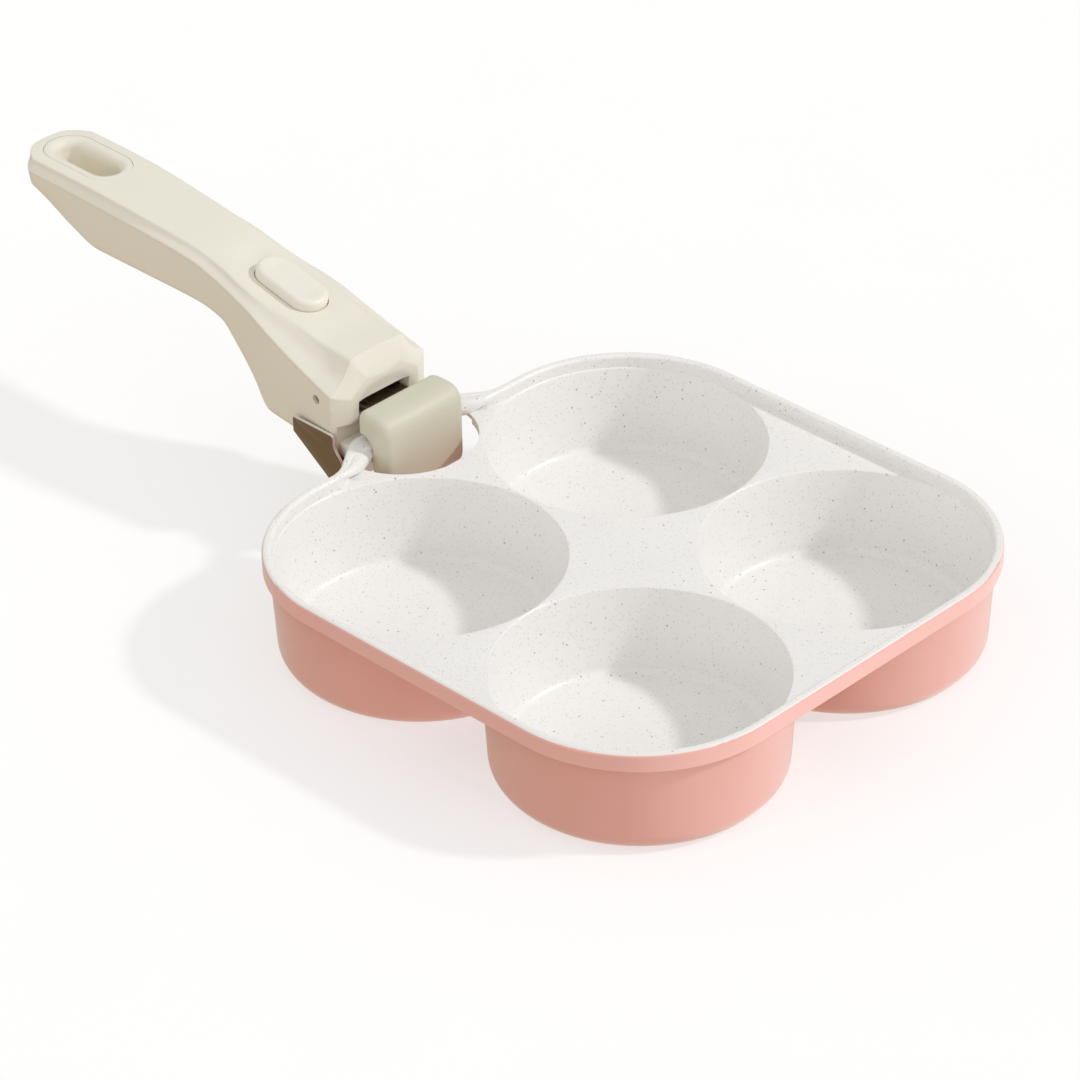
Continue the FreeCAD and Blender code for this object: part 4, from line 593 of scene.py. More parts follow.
def even_curve(values, x):
    """A value at x on a curve through the stations that never overshoots them."""
    spots = STATION_X
    place = next((i for i in range(len(spots) - 1) if x >= spots[i + 1]), len(spots) - 2)
    slopes = [(values[i + 1] - values[i]) / (spots[i + 1] - spots[i]) for i in range(len(spots) - 1)]

    def steepness(i):
        if i in (0, len(spots) - 1):
            return slopes[0 if i == 0 else -1]
        if slopes[i - 1] * slopes[i] <= 0:
            return 0.0
        return 2 * slopes[i - 1] * slopes[i] / (slopes[i - 1] + slopes[i])

    width = spots[place + 1] - spots[place]
    t = (x - spots[place]) / width
    return (values[place] * (1 + 2 * t) * (1 - t) ** 2 + values[place + 1] * t * t * (3 - 2 * t)
            + width * (steepness(place) * t * (1 - t) ** 2 + steepness(place + 1) * t * t * (t - 1)))


print(len(STATION_X), "stations,", round(NOSE_X - TIP_X, 1), "mm of handle")

# %% [markdown]
# ## Rounded outlines
# A Bevel modifier could round the corners of a finished skin, but rings that are lofted need the same
# number of points each. So every corner is rounded in the outline itself, by a short curve with a fixed
# number of steps, and a half outline is mirrored to a ring.

# %% Polylines with round corners
LONGEST_CUT_SHARE = 0.48
ON_MIDDLE = 1e-6


def rounded(corners, cuts, curve_steps, line_steps):
    """A polyline with its inner corners rounded, always with the same number of points."""
    corners = [Vector(corner) for corner in corners]
    arcs = []
    for i in range(1, len(corners) - 1):
        before = corners[i - 1] - corners[i]
        after = corners[i + 1] - corners[i]
        cut = min(cuts[i - 1], LONGEST_CUT_SHARE * before.length, LONGEST_CUT_SHARE * after.length)
        start = corners[i] + before.normalized() * cut
        end = corners[i] + after.normalized() * cut
        arcs.append([start * (1 - t) ** 2 + corners[i] * 2 * t * (1 - t) + end * t * t
                     for t in (k / curve_steps for k in range(curve_steps + 1))])
    arcs.append([corners[-1]])
    points = [corners[0]]
    for arc in arcs:
        last = points[-1]
        points += [last.lerp(arc[0], k / line_steps) for k in range(1, line_steps)]
        points += arc
    return points


def mirrored(half):
    """A section's right half and its mirror image on the left, as one closed ring."""
    right = [p for p in half if abs(p.x) > ON_MIDDLE]
    left = [Vector((-p.x, p.y)) for p in reversed(right)]
    first = half[:1] if abs(half[0].x) <= ON_MIDDLE else []
    last = half[-1:] if abs(half[-1].x) <= ON_MIDDLE else []
    return first + right + last + left


def at_x(ring, x):
    """A section's ring as points at one place along the handle."""
    return [(x, p.x, p.y) for p in ring]


print("a corner is cut by at most", LONGEST_CUT_SHARE, "of its shorter side")

# %% [markdown]
# ## Tip of the handle
# Seen from above the tip is a half circle, and seen from the side its last two millimetres are rounded
# off. Both are only shares of the section's width and height, so every section is multiplied by them.
# Rings lie closer together there.

# %% Shares of width and height near the tip
TIP_RADIUS = 17.0
TIP_ROUND = 2.2
TIP_HEIGHT_SHARE = 0.45
TIP_RINGS = 26
TIP_STOP = 0.02
RING_STEP = 1.5


def tip_share(x):
    """How much of its width the handle still has near its round tip."""
    along = x - (TIP_X + TIP_RADIUS)
    if along >= 0:
        return 1.0
    reach = math.sqrt(max(TIP_RADIUS ** 2 - along ** 2, 0.0))
    return min(1.0, reach / even_curve(STATION_SIDE, x))


def tip_squeeze(x):
    """How much of its height the handle keeps in the last millimetres before the tip."""
    left = (x - TIP_X) / TIP_ROUND
    if left >= 1:
        return 1.0
    return TIP_HEIGHT_SHARE + (1 - TIP_HEIGHT_SHARE) * math.sqrt(max(1 - (1 - left) ** 2, 0.0))


def handle_xs(first):
    """Places along the handle, closer together where the tip rounds off."""
    straight = list(np.arange(first, TIP_X + TIP_RADIUS, -RING_STEP))
    turn = [TIP_X + TIP_RADIUS * (1 - math.sin(angle))
            for angle in np.linspace(0, math.pi / 2 - TIP_STOP, TIP_RINGS)]
    return straight + turn


print(len(handle_xs(NOSE_X)), "rings from nose to tip")

# %% [markdown]
# ## Sections
# The upper half has a valley in its chamfer near the nose, where the flat top stands up like a rib. The
# lower half runs from the crease down its side and round to the belly. A thin gap between the two is the
# parting line.

# %% Sections of the two halves
SEAM = 0.03
COVER_FRONT_X = -112.33
CURVE_STEPS = 6
LINE_STEPS = 5
TOP_CROWN = 0.25
VALLEY_START_X = -158
VALLEY_LENGTH = 46
VALLEY_GROWTH = 1.4
VALLEY_WAY = Vector((-0.5, -1.0))
VALLEY_DEPTH = 1.5
RIB_OUT = 1.2
RIB_DOWN = 0.4
RIB_TALL = 2.6
UPPER_EDGE = (0.2, 0.5)
UPPER_CUTS = [2.0, 2.0, 5.0, 0.7]
LOWER_EDGE = (0.1, 0.6)
WAIST_SHARES = (0.985, 0.45)
BELLY_SIDE_SHARE = 0.95
BELLY_EDGE_SHARE = 0.1
LOWER_CUTS = [0.6, 4.0, 2.0, 2.0]


def upper_half(x, valley_share=1.0):
    """The right side of the upper half's section, from the top's middle to the crease, with its valley."""
    top = WEB + even_curve(STATION_TOP, x)
    flat = even_curve(STATION_FLAT, x)
    crease = WEB + even_curve(STATION_CREASE, x)
    side = even_curve(STATION_SIDE, x)
    nose = valley_share * max(0.0, min(1.0, (x - VALLEY_START_X) / VALLEY_LENGTH)) ** VALLEY_GROWTH
    steep = Vector((flat + RIB_OUT, top - RIB_DOWN - RIB_TALL * nose))
    valley = Vector((flat, top)).lerp(Vector((side, crease)), 0.5) + VALLEY_WAY * VALLEY_DEPTH * nose
    corners = [(0, top), (flat, top - TOP_CROWN), steep, valley,
               (side - UPPER_EDGE[0], crease + UPPER_EDGE[1]), (side, crease + SEAM)]
    points = rounded(corners, UPPER_CUTS, CURVE_STEPS, LINE_STEPS)
    share = tip_share(x)
    middle = crease + SEAM
    squeeze = tip_squeeze(x)
    return [Vector((p.x * share, middle + (p.y - middle) * squeeze)) for p in points]


def lower_half(x):
    """The right side of the lower half's section, from the crease to the middle of the belly."""
    crease = WEB + even_curve(STATION_CREASE, x) - SEAM
    bottom = WEB + even_curve(STATION_BOTTOM, x)
    side = even_curve(STATION_SIDE, x)
    low_side = BELLY_SIDE_SHARE * side
    edge = BELLY_EDGE_SHARE * (crease - bottom)
    corners = [(side, crease), (side - LOWER_EDGE[0], crease - LOWER_EDGE[1]),
               (WAIST_SHARES[0] * side, crease - WAIST_SHARES[1] * (crease - bottom)),
               (low_side, bottom + edge), (low_side - edge, bottom), (0, bottom)]
    points = rounded(corners, LOWER_CUTS, CURVE_STEPS, LINE_STEPS)
    share = tip_share(x)
    squeeze = tip_squeeze(x)
    return [Vector((p.x * share, crease + (p.y - crease) * squeeze)) for p in points]


cover_skin = loft([at_x(mirrored(upper_half(x)), x) for x in handle_xs(COVER_FRONT_X)])
print(len(cover_skin[0]), "points in the cover's skin")

# %% [markdown]
# ## Cutting
# Holes could be modelled into the skin, but then every ring would have to know of them. Cutting them out
# afterwards with Boolean modifiers keeps the skin simple. Two kinds of cutter do for most of this handle:
# an outline seen from above, and an outline seen from the side.

# %% Cutters and the cut
CAPSULE_STEPS = 20


def upright(outline, low, high):
    """A straight prism of an outline seen from above."""
    return loft([[(x, y, low) for x, y in outline], [(x, y, high) for x, y in outline]])


def sideways(outline, half_width):
    """A straight prism of an outline seen from the side, across the handle."""
    return loft([[(x, -half_width, z) for x, z in outline], [(x, half_width, z) for x, z in outline]])


def capsule(middle, length, width):
    """A slot's outline seen from above, with round ends."""
    radius = width / 2
    reach = length / 2 - radius
    angles = [math.pi * k / CAPSULE_STEPS - math.pi / 2 for k in range(CAPSULE_STEPS + 1)]
    right = [(middle + reach + radius * math.cos(a), radius * math.sin(a)) for a in angles]
    left = [(middle - reach - radius * math.cos(a), -radius * math.sin(a)) for a in angles]
    return right + left


def carve(piece, skins):
    """Cut closed skins out of a piece, then shade it again."""
    cutters = []
    for number, skin in enumerate(skins):
        cutter = new_piece(f"{piece.name}_cutter_{number}", *skin, [])
        step = piece.modifiers.new(f"cut_{number}", "BOOLEAN")
        step.operation = "DIFFERENCE"
        step.solver = "EXACT"
        step.object = cutter
        cutters.append(cutter)
    carved = keep_modified(piece)
    shade(carved)
    for cutter in cutters:
        bpy.data.objects.remove(cutter)
    print(piece.name, "cut", len(skins), "times,", len(carved.polygons), "faces")


print("a slot's outline has", 2 * (CAPSULE_STEPS + 1), "points")

# %% [markdown]
# ## Cover
# The cover is the upper half: a thin shell that is hollow underneath, with a slot for the button and a
# large slot for the collar of the hanging hole. Behind the button the top is scooped out, so that a thumb
# can slide on to it. The scoop is a smooth dip of the skin's own points, because a cut would leave a hard
# edge.

# %% Cover with its hollow, slots and scoop
BUTTON_X = -151.32
BUTTON_Z = 68.94
BUTTON_TILT = math.radians(12.3)
BUTTON_LENGTH = 28.5
BUTTON_WIDTH = 13.5
BUTTON_CLEARANCE = 0.6
BUTTON_SLOT = (-8, 9)
SCOOP_X = -168.5
SCOOP_HALF = (8.5, 8.0)
SCOOP_SKIN = 1.5
SCOOP_DEPTH = 1.3
COVER_WALL = 3.0
COVER_FRONT_WALL = 2.4
HOLLOW_IN = 2.0
HOLLOW_KNEE = 0.6
HOLLOW_FOOT = 1.5
HOLLOW_END = -229.1
HOLLOW_RINGS = 60
HANG_X = -250.2
COLLAR_LENGTH = 36.0
COLLAR_WIDTH = 18.4
COLLAR_CLEARANCE = 0.2
UNDER_COVER = 60
OVER_HANDLE = 95


def scooped(point):
    """Lower the cover's top a little behind the button."""
    x, y, z = point
    apart = math.hypot((x - SCOOP_X) / SCOOP_HALF[0], y / SCOOP_HALF[1])
    top = WEB + even_curve(STATION_TOP, x)
    if apart >= 1 or z < top - SCOOP_SKIN:
        return point
    return x, y, z - SCOOP_DEPTH * (1 - apart ** 2) ** 2


def cover_hollow(x):
    """The room under the cover at one place, from below the parting line to under the top wall."""
    top = WEB + even_curve(STATION_TOP, x) - COVER_WALL
    crease = WEB + even_curve(STATION_CREASE, x)
    wide = even_curve(STATION_SIDE, x) - COVER_WALL
    narrow = even_curve(STATION_FLAT, x) - HOLLOW_IN
    knee = Vector((wide, crease + HOLLOW_KNEE))
    foot = Vector((wide, crease - HOLLOW_FOOT))
    return at_x(mirrored([Vector((narrow, top)), knee, foot]), x)


def tilted(point):
    """A point about the button's own tilted axis, in millimetres about the pan's centre."""
    x, y, z = point
    return (BUTTON_X + x * math.cos(BUTTON_TILT) + z * math.sin(BUTTON_TILT), y,
            BUTTON_Z - x * math.sin(BUTTON_TILT) + z * math.cos(BUTTON_TILT))


cover = new_piece("grip_upper", [scooped(point) for point in cover_skin[0]], cover_skin[1], [handle_nylon])
hollow_xs = np.linspace(COVER_FRONT_X - COVER_FRONT_WALL, HOLLOW_END, HOLLOW_RINGS)
slot_outline = capsule(0, BUTTON_LENGTH + BUTTON_CLEARANCE, BUTTON_WIDTH + BUTTON_CLEARANCE)
slot_points, slot_faces = upright(slot_outline, *BUTTON_SLOT)
button_slot = ([tilted(point) for point in slot_points], slot_faces)
collar_outline = capsule(HANG_X, COLLAR_LENGTH + COLLAR_CLEARANCE, COLLAR_WIDTH + COLLAR_CLEARANCE)
collar_slot = upright(collar_outline, UNDER_COVER, OVER_HANDLE)
carve(cover, [loft([cover_hollow(x) for x in hollow_xs]), button_slot, collar_slot])
stand_for(cover, "handle", "handle_plastic", "grip_cover")

# %% [markdown]
# ## Front face of the nose
# The nose ends in a broad face with a soft edge, and a shallow arch is sunk into it round the mouth that
# the jaw comes out of. A flat cap with a bevel would be too hard. So the nose's outline is drawn in ring
# by ring: the rings bulge forwards over the edge, lie flat inside it, and sink where the arch is.

# %% Rings of the front face
FACE_X = -109.0
FACE_EDGE_SHARES = (0.5, 0.72)
FACE_ROUND = 1.25
FACE_RINGS = 60
LAST_RING_SHARE = 0.02
VALLEY_FADE = 5
BELLY_Z = 29.0
MOUTH_Z = (42.2, 47.7)
ARCH_HALF = (12.6, 10.4)
ARCH_RISE = 12
ARCH_ROUND = 9.5
ARCH_DEPTH = 0.7
ARCH_EDGE = 4.5
ARCH_INSIDE_SHARE = 0.4


def arch_depth(y, z):
    """How far the front face sinks at a point, from its distance to the arch's outline."""
    across = abs(y) - (ARCH_HALF[0] - ARCH_ROUND)
    over = abs(z - BELLY_Z - ARCH_RISE) - (ARCH_HALF[1] - ARCH_ROUND)
    outside = math.hypot(max(across, 0), max(over, 0)) + min(max(across, over), 0) - ARCH_ROUND
    t = max(0.0, min(1.0, ARCH_INSIDE_SHARE - outside / ARCH_EDGE))
    return ARCH_DEPTH * t * t * (3 - 2 * t)


def nose_outline(valley_share):
    """The handle's whole outline at the nose, with a share of its valley."""
    return mirrored(upper_half(NOSE_X, valley_share) + lower_half(NOSE_X))


def face_ring(share):
    """One ring of the front face: the outline drawn in to a share of its size, its valley fading."""
    middle = sum(MOUTH_Z) / 2
    over, beside = FACE_EDGE_SHARES
    ring = []
    for p in nose_outline(max(0.0, 1 - VALLEY_FADE * (1 - share))):
        y = p.x * share
        z = middle + (p.y - middle) * share
        sideways_share = p.x ** 2 / (p.x ** 2 + (p.y - middle) ** 2)
        edge_share = over + (beside - over) * sideways_share
        rim = max(0.0, (share - edge_share) / (1 - edge_share))
        x = NOSE_X + (FACE_X - NOSE_X) * (1 - rim ** FACE_ROUND)
        ring.append((x - arch_depth(y, z), y, z))
    return ring


face_rings = [face_ring(share) for share in np.linspace(1, LAST_RING_SHARE, FACE_RINGS)]
print(len(face_rings), "rings of", len(face_rings[0]), "points on the front face")

# %% [markdown]
# ## Body
# The lower half carries the nose. Its skin runs from the nose to the tip; the front face and a wall
# behind the face's upper part, where the cover begins, close it.

# %% Skin of the body
body_skin = loft([at_x(mirrored(lower_half(x)), x) for x in handle_xs(NOSE_X)], first_end=False)
face_skin = loft(face_rings, first_end=False)
wall_ring = at_x(mirrored(upper_half(NOSE_X) + lower_half(NOSE_X)[:1]), NOSE_X)
wall_skin = (wall_ring, [tuple(range(len(wall_ring)))])
body = new_piece("grip_lower", *joined(body_skin, face_skin, wall_skin), [handle_nylon])
print("body", len(body.data.polygons), "faces before cutting")

# %% [markdown]
# ## Rooms in the body
# The body is hollow for the clamp: a room behind the face, a bay under the button, a flat deck for the
# cover's screws, and a channel along the belly that the lever lies in. The mouth widens towards the
# front, the pin goes through from side to side, and a recess under the face takes the bar. Each is one
# cutter.

# %% Rooms, mouth and holes
# Outlines from above hold X and Y, outlines from the side hold X and Z.
OVER_ROOMS = 90
BELLY_ROOM = [(-112.9, 18.0), (-146.0, 15.4), (-146.0, -15.4), (-112.9, -18.0)]
BELLY_ROOM_LOW = 31.5
BAY_ROOM = [(-145.9, 15.4), (-162.1, 13.0), (-162.1, -13.0), (-145.9, -15.4)]
BAY_ROOM_LOW = 51.5
DECK_Z = 64
DECK_ROOM = [(-162.0, 13.0), (HOLLOW_END, 11.8), (HOLLOW_END, -11.8), (-162.0, -13.0)]
CHANNEL = [(-117, 20), (-117, 33.9), (-146, 33.9), (-146, 59), (-162, 57), (-171, 62.5), (-183, DECK_Z),
           (HOLLOW_END, DECK_Z), (HOLLOW_END, 20)]
CHANNEL_HALF = 8.7
PIN_X = -119.5
PIN_Z = 48.3
PIN_HOLE_RADIUS = 1.65
PIN_HOLE_SIDES = 32
PAST_SIDES = 40
MOUTH_HALF = 10.2
MOUTH_FLARE = 2.2
MOUTH_STEPS = ((-106, MOUTH_HALF + MOUTH_FLARE), (-112, MOUTH_HALF), (-114, MOUTH_HALF))
RECESS = [(-104, 30), (-104, 41.6), (-111.8, 40.8), (-111.8, 30)]
RECESS_HALF = 19.3
HANG_LENGTH = 27.0
HANG_WIDTH = 11.0
UNDER_TIP = 40

pin_turns = np.linspace(0, 2 * math.pi, PIN_HOLE_SIDES + 1)[:-1]
pin_hole = [(PIN_X + PIN_HOLE_RADIUS * math.cos(a), PIN_Z + PIN_HOLE_RADIUS * math.sin(a)) for a in pin_turns]
mouth_low, mouth_high = MOUTH_Z
mouth_rings = []
for x, half in MOUTH_STEPS:
    mouth_rings.append([(x, -half, mouth_low), (x, half, mouth_low), (x, half, mouth_high),
                        (x, -half, mouth_high)])
carve(body, [
    upright(BELLY_ROOM, BELLY_ROOM_LOW, OVER_ROOMS),
    upright(BAY_ROOM, BAY_ROOM_LOW, OVER_ROOMS),
    upright(DECK_ROOM, DECK_Z, OVER_ROOMS),
    sideways(CHANNEL, CHANNEL_HALF),
    loft(mouth_rings),
    sideways(RECESS, RECESS_HALF),
    sideways(pin_hole, PAST_SIDES),
    upright(capsule(HANG_X, HANG_LENGTH, HANG_WIDTH), UNDER_TIP, OVER_HANDLE),
])

# %% [markdown]
# ## Collar and lip
# Two small forms belong to the body: the collar round the hanging hole, which comes up through the cover,
# and the lip under the front face that backs the bar. The collar is one closed loop of slot outlines,
# growing and shrinking; the lip is a profile drawn across the handle whose edges are bevelled.

# %% Collar round the hanging hole, and the lip
COLLAR_FOOT_Z = 76.0
COLLAR_DROP = 0.05
COLLAR_EDGE = 0.5
COLLAR_EDGE_STEPS = 5
HANG_ROUND = 3.0
HANG_ROUND_STEPS = 9
HANG_WIDER = 0.35
HANG_INSET = (COLLAR_LENGTH - HANG_LENGTH) / 2 - HANG_WIDER
LIP_X = (-106.4, -112.0)
LIP_LIFT = 0.3
LIP_TALL = 5.7
LIP_Z = (BELLY_Z + LIP_LIFT, BELLY_Z + LIP_LIFT + LIP_TALL)
LIP_HALF = 18.5
LIP_ROUND = 0.9
SHARP_EDGE = math.radians(35)


def collar_ring(inset, drop=None):
    """A slot outline inside the collar's outer one, at a drop below the handle's top or else at the foot."""
    outline = capsule(HANG_X, COLLAR_LENGTH - 2 * inset, COLLAR_WIDTH - 2 * inset)
    if drop is None:
        return [(x, y, COLLAR_FOOT_Z) for x, y in outline]
    return [(x, y, WEB + even_curve(STATION_TOP, x) - drop) for x, y in outline]


def bevelled(piece, width, segments):
    """Round a piece's sharp edges."""
    bm = bmesh.new()
    bm.from_mesh(piece.data)
    edges = [e for e in bm.edges if len(e.link_faces) == 2 and e.calc_face_angle(0) > SHARP_EDGE]
    bmesh.ops.bevel(bm, geom=edges, offset=width * MM, segments=segments, profile=0.5, affect="EDGES",
                    clamp_overlap=True)
    bm.to_mesh(piece.data)
    bm.free()
    shade(piece.data)


def merge(piece, other):
    """Take another piece's mesh into a piece."""
    bm = bmesh.new()
    bm.from_mesh(piece.data)
    bm.from_mesh(other.data)
    bm.to_mesh(piece.data)
    bm.free()
    bpy.data.objects.remove(other)


collar_rings = [collar_ring(0)]
for a in np.linspace(0, math.pi / 2, COLLAR_EDGE_STEPS):
    collar_rings.append(collar_ring(COLLAR_EDGE - COLLAR_EDGE * math.cos(a),
                                    COLLAR_DROP + COLLAR_EDGE - COLLAR_EDGE * math.sin(a)))
for a in np.linspace(0, math.pi / 2, HANG_ROUND_STEPS):
    collar_rings.append(collar_ring(HANG_INSET - HANG_ROUND + HANG_ROUND * math.sin(a),
                                    COLLAR_DROP + HANG_ROUND - HANG_ROUND * math.cos(a)))
collar_rings += [collar_ring(HANG_INSET), collar_ring(0)]
collar = new_piece("collar", *loft(collar_rings, False, False), [])
lip_side = [(LIP_X[0], LIP_Z[1]), (LIP_X[0], LIP_Z[0]), (LIP_X[1], LIP_Z[0]), (LIP_X[1], LIP_Z[1])]
lip = new_piece("lip", *sideways(lip_side, LIP_HALF), [])
bevelled(lip, LIP_ROUND, segments=3)
merge(body, collar)
merge(body, lip)
stand_for(body, "handle", "handle_plastic", "grip_body")

# %% [markdown]
# ## Button
# The release button is a small moulding with a round edge and a slightly dished top. A bevelled box would
# have no dish, so slot outlines are lofted: they shrink along a quarter circle for the edge, and a few
# more sink the middle. Its flange and stem stay under the cover.

# %% Button
BUTTON_RISE = 3.5
BUTTON_ROUND = 1.8
BUTTON_STEPS = 9
FLANGE_OUT = 1.2
FLANGE_LOW = -4.1
FLANGE_HIGH = -2.75
NECK_LOW = -2.7
DISH_WIDTH = 4.8
DISH_DEPTH = 0.7
DISH_FIRST_SHARE = 0.1
STEM = [(1.23, 3.5), (2.43, 3.5), (2.43, -3.5), (1.23, -3.5)]
STEM_SPAN = (-5.3, -3.9)


def button_ring(inset, lift):
    """A slot outline of the button, drawn in by an inset, at a height along its own axis."""
    outline = capsule(0, BUTTON_LENGTH - 2 * inset, BUTTON_WIDTH - 2 * inset)
    return [tilted((x, y, lift)) for x, y in outline]


button_rings = [button_ring(-FLANGE_OUT, FLANGE_LOW), button_ring(-FLANGE_OUT, FLANGE_HIGH),
                button_ring(0, NECK_LOW)]
for a in np.linspace(0, math.pi / 2, BUTTON_STEPS):
    button_rings.append(button_ring(BUTTON_ROUND * (1 - math.cos(a)),
                                    BUTTON_RISE - BUTTON_ROUND * (1 - math.sin(a))))
for t in np.linspace(DISH_FIRST_SHARE, 1, BUTTON_STEPS):
    button_rings.append(button_ring(BUTTON_ROUND + DISH_WIDTH * t,
                                    BUTTON_RISE - DISH_DEPTH * t * t * (3 - 2 * t)))
stem_points, stem_faces = upright(STEM, *STEM_SPAN)
stem = ([tilted(point) for point in stem_points], stem_faces)
button = new_piece("button_cap", *joined(loft(button_rings), stem), [button_nylon])
stand_for(button, "button", "button_plastic", "release_button")

# %% [markdown]
# ## Jaw
# The jaw is a heat-proof block that reaches over the bar and hangs into the lug's hole. Its side view is
# a hook with a large round at the front. Slices of that view across the handle shrink near both ends,
# which rounds the ends off all the way round, as a bevel over so many corners would not.

# %% Jaw
JAW_BACK = -104.35
JAW_FRONT = -90.15
JAW_TOP = 49.2
JAW_LOW = 21.5
JAW_SEAT_X = (-101.0, -99.95)
JAW_SEAT_Z = 40.9
JAW_SEAT_SHARE = 0.3
HOOK_BACK = -97.35
HOOK_BACK_SHARE = 0.2
HOOK_TOP = 38.65
JAW_ROUNDS = [0.5, 3.4, 7.5, 2.4, 1.6, 1.6, 1.6]
JAW_CURVE_STEPS = 8
JAW_LINE_STEPS = 3
JAW_HALF = 17.5
JAW_END_ROUND = 3.0
JAW_SLICES = 21


def jaw_side(inset):
    """The jaw's side view, drawn in by an inset near its ends."""
    seat = JAW_SEAT_Z + JAW_SEAT_SHARE * inset
    hook_back = HOOK_BACK + HOOK_BACK_SHARE * inset
    corners = [(JAW_SEAT_X[0], seat), (JAW_BACK + inset, seat), (JAW_BACK + inset, JAW_TOP - inset),
               (JAW_FRONT - inset, JAW_TOP - inset), (JAW_FRONT - inset, JAW_LOW + inset),
               (hook_back, JAW_LOW + inset), (hook_back, HOOK_TOP), (JAW_SEAT_X[1], seat),
               (JAW_SEAT_X[0], seat)]
    return rounded(corners, JAW_ROUNDS, JAW_CURVE_STEPS, JAW_LINE_STEPS)[:-1]


jaw_slices = []
for angle in np.linspace(-math.pi / 2, math.pi / 2, JAW_SLICES):
    inset = JAW_END_ROUND * (1 - math.cos(angle))
    across = math.copysign(JAW_HALF - JAW_END_ROUND, angle) + JAW_END_ROUND * math.sin(angle)
    jaw_slices.append([(p.x, across, p.y) for p in jaw_side(inset)])
jaw = new_piece("jaw_cap", *loft(jaw_slices), [jaw_nylon])
stand_for(jaw, "jaw", "jaw_plastic", "jaw_block")

# %% [markdown]
# ## Bracket
# The bracket is one pressed plate: two cheeks beside the nose, a floor under it with a gap for the lever,
# and a chin in front. Each is a flat outline with the plate's thickness, and a small bevel takes the
# hardness off. The cheeks' edges are sheared in an S-curve, and their narrow faces take a lighter metal:
# a painted highlight.

# %% Bracket
CHEEK_IN = 20.7
CHEEK_OUT = 21.9
CHEEK_BACK = -129.4
CHEEK_TOP = 38.8
CHEEK_BACK_LOW = 33.4
CHEEK_NIP = 0.4
SHEAR_X = -110.8
SHEAR_Z = (35.6, 28.8)
SHEAR_NIP = 0.6
SHEAR_STEPS = 10
CHIN_X = -106.9
CHIN_LOW = 21.5
CHIN_NIP = 1.1
CHIN_BACK = -112.6
PLATE = 1.2
FLOOR_BACK = -122.4
FLOOR_Z = (27.5, 28.7)
FLOOR_SET_BACK = 0.2
LEVER_GAP_X = -113.1
LEVER_GAP_HALF = 9.2
BRACKET_BEVEL = 0.2
FACES_SIDEWAYS = 0.9


def s_curve(start, end):
    """Points on a smooth step between two corners, seen from the side."""
    values = []
    for k in range(SHEAR_STEPS + 1):
        t = k / SHEAR_STEPS
        values.append((start[0] + (end[0] - start[0]) * t * t * (3 - 2 * t),
                       start[1] + (end[1] - start[1]) * t))
    return values


cheek = [(CHEEK_BACK, CHEEK_TOP - CHEEK_NIP), (CHEEK_BACK + CHEEK_NIP, CHEEK_TOP),
         (SHEAR_X - SHEAR_NIP, CHEEK_TOP), (SHEAR_X, CHEEK_TOP - SHEAR_NIP)]
cheek += s_curve((SHEAR_X, SHEAR_Z[0]), (CHIN_X, SHEAR_Z[1]))
cheek += [(CHIN_X, CHIN_LOW + CHIN_NIP), (CHIN_X - CHIN_NIP, CHIN_LOW), (CHIN_BACK, CHIN_LOW),
          (CHEEK_BACK, CHEEK_BACK_LOW)]
skins = []
for side in (-1, 1):
    skins.append(loft([[(x, side * y, z) for x, z in cheek] for y in (CHEEK_IN, CHEEK_OUT)]))
floor_front = CHIN_X - FLOOR_SET_BACK
floor_outline = [(floor_front, -CHEEK_IN), (floor_front, CHEEK_IN), (FLOOR_BACK, CHEEK_IN),
                 (FLOOR_BACK, LEVER_GAP_HALF), (LEVER_GAP_X, LEVER_GAP_HALF), (LEVER_GAP_X, -LEVER_GAP_HALF),
                 (FLOOR_BACK, -LEVER_GAP_HALF), (FLOOR_BACK, -CHEEK_IN)]
skins.append(upright(floor_outline, *FLOOR_Z))
chin_outline = [(CHIN_X, -CHEEK_IN), (CHIN_X, CHEEK_IN), (CHIN_X - PLATE, CHEEK_IN),
                (CHIN_X - PLATE, -CHEEK_IN)]
skins.append(upright(chin_outline, CHIN_LOW, FLOOR_Z[1]))
bracket = new_piece("bracket_plate", *joined(*skins), [bracket_steel, sheared_edge_painted_highlight])
bevelled(bracket, BRACKET_BEVEL, segments=2)
# The cheeks' narrow faces take the near-white edge metal, which is a painted highlight.
for face in bracket.data.polygons:
    on_cheek = abs(face.center.y) > CHEEK_IN * MM
    face.material_index = 1 if on_cheek and abs(face.normal.y) < FACES_SIDEWAYS else 0
stand_for(bracket, "handle", "steel", "front_bracket")

# %% [markdown]
# ## Lever pad
# The pad is the lever's plastic skin and lies flush in the handle's underside. It follows the belly's
# curve, so its section, a flat bar with round lower edges, is simply carried along that curve. A curve
# object with that section as its bevel would do too, but the belly's stations are already there.

# %% Lever pad
PAD_HALF = 8.2
PAD_FRONT = -127.0
PAD_BACK = -226.6
PAD_LIFT = 0.15
PAD_THICK = 2.2
PAD_ROUNDS = [0.2, 1.4]
PAD_RINGS = 80


def pad_ring(x):
    """The pad's section at one place."""
    low = WEB + even_curve(STATION_BOTTOM, x) + PAD_LIFT
    high = low + PAD_THICK
    corners = [(0, high), (PAD_HALF, high), (PAD_HALF, low), (0, low)]
    right = rounded(corners, PAD_ROUNDS, curve_steps=6, line_steps=3)
    return at_x(mirrored(right), x)


pad_rings = [pad_ring(x) for x in np.linspace(PAD_FRONT, PAD_BACK, PAD_RINGS)]
pad = new_piece("lever_skin", *loft(pad_rings), [handle_nylon])
stand_for(pad, "lever", "handle_plastic", "lever_pad")

# %% [markdown]
# ## Screw
# Four equal screws hold the bracket and the cover. Copies of one mesh would do, but a Geometry Nodes tree
# shows how a screw is built from simple parts: a crown that narrows, a plate, a shank, and two bars that
# a Boolean node cuts out as the cross. The last nodes put a screw on every point, turn the copies into
# real mesh and give it its metal.

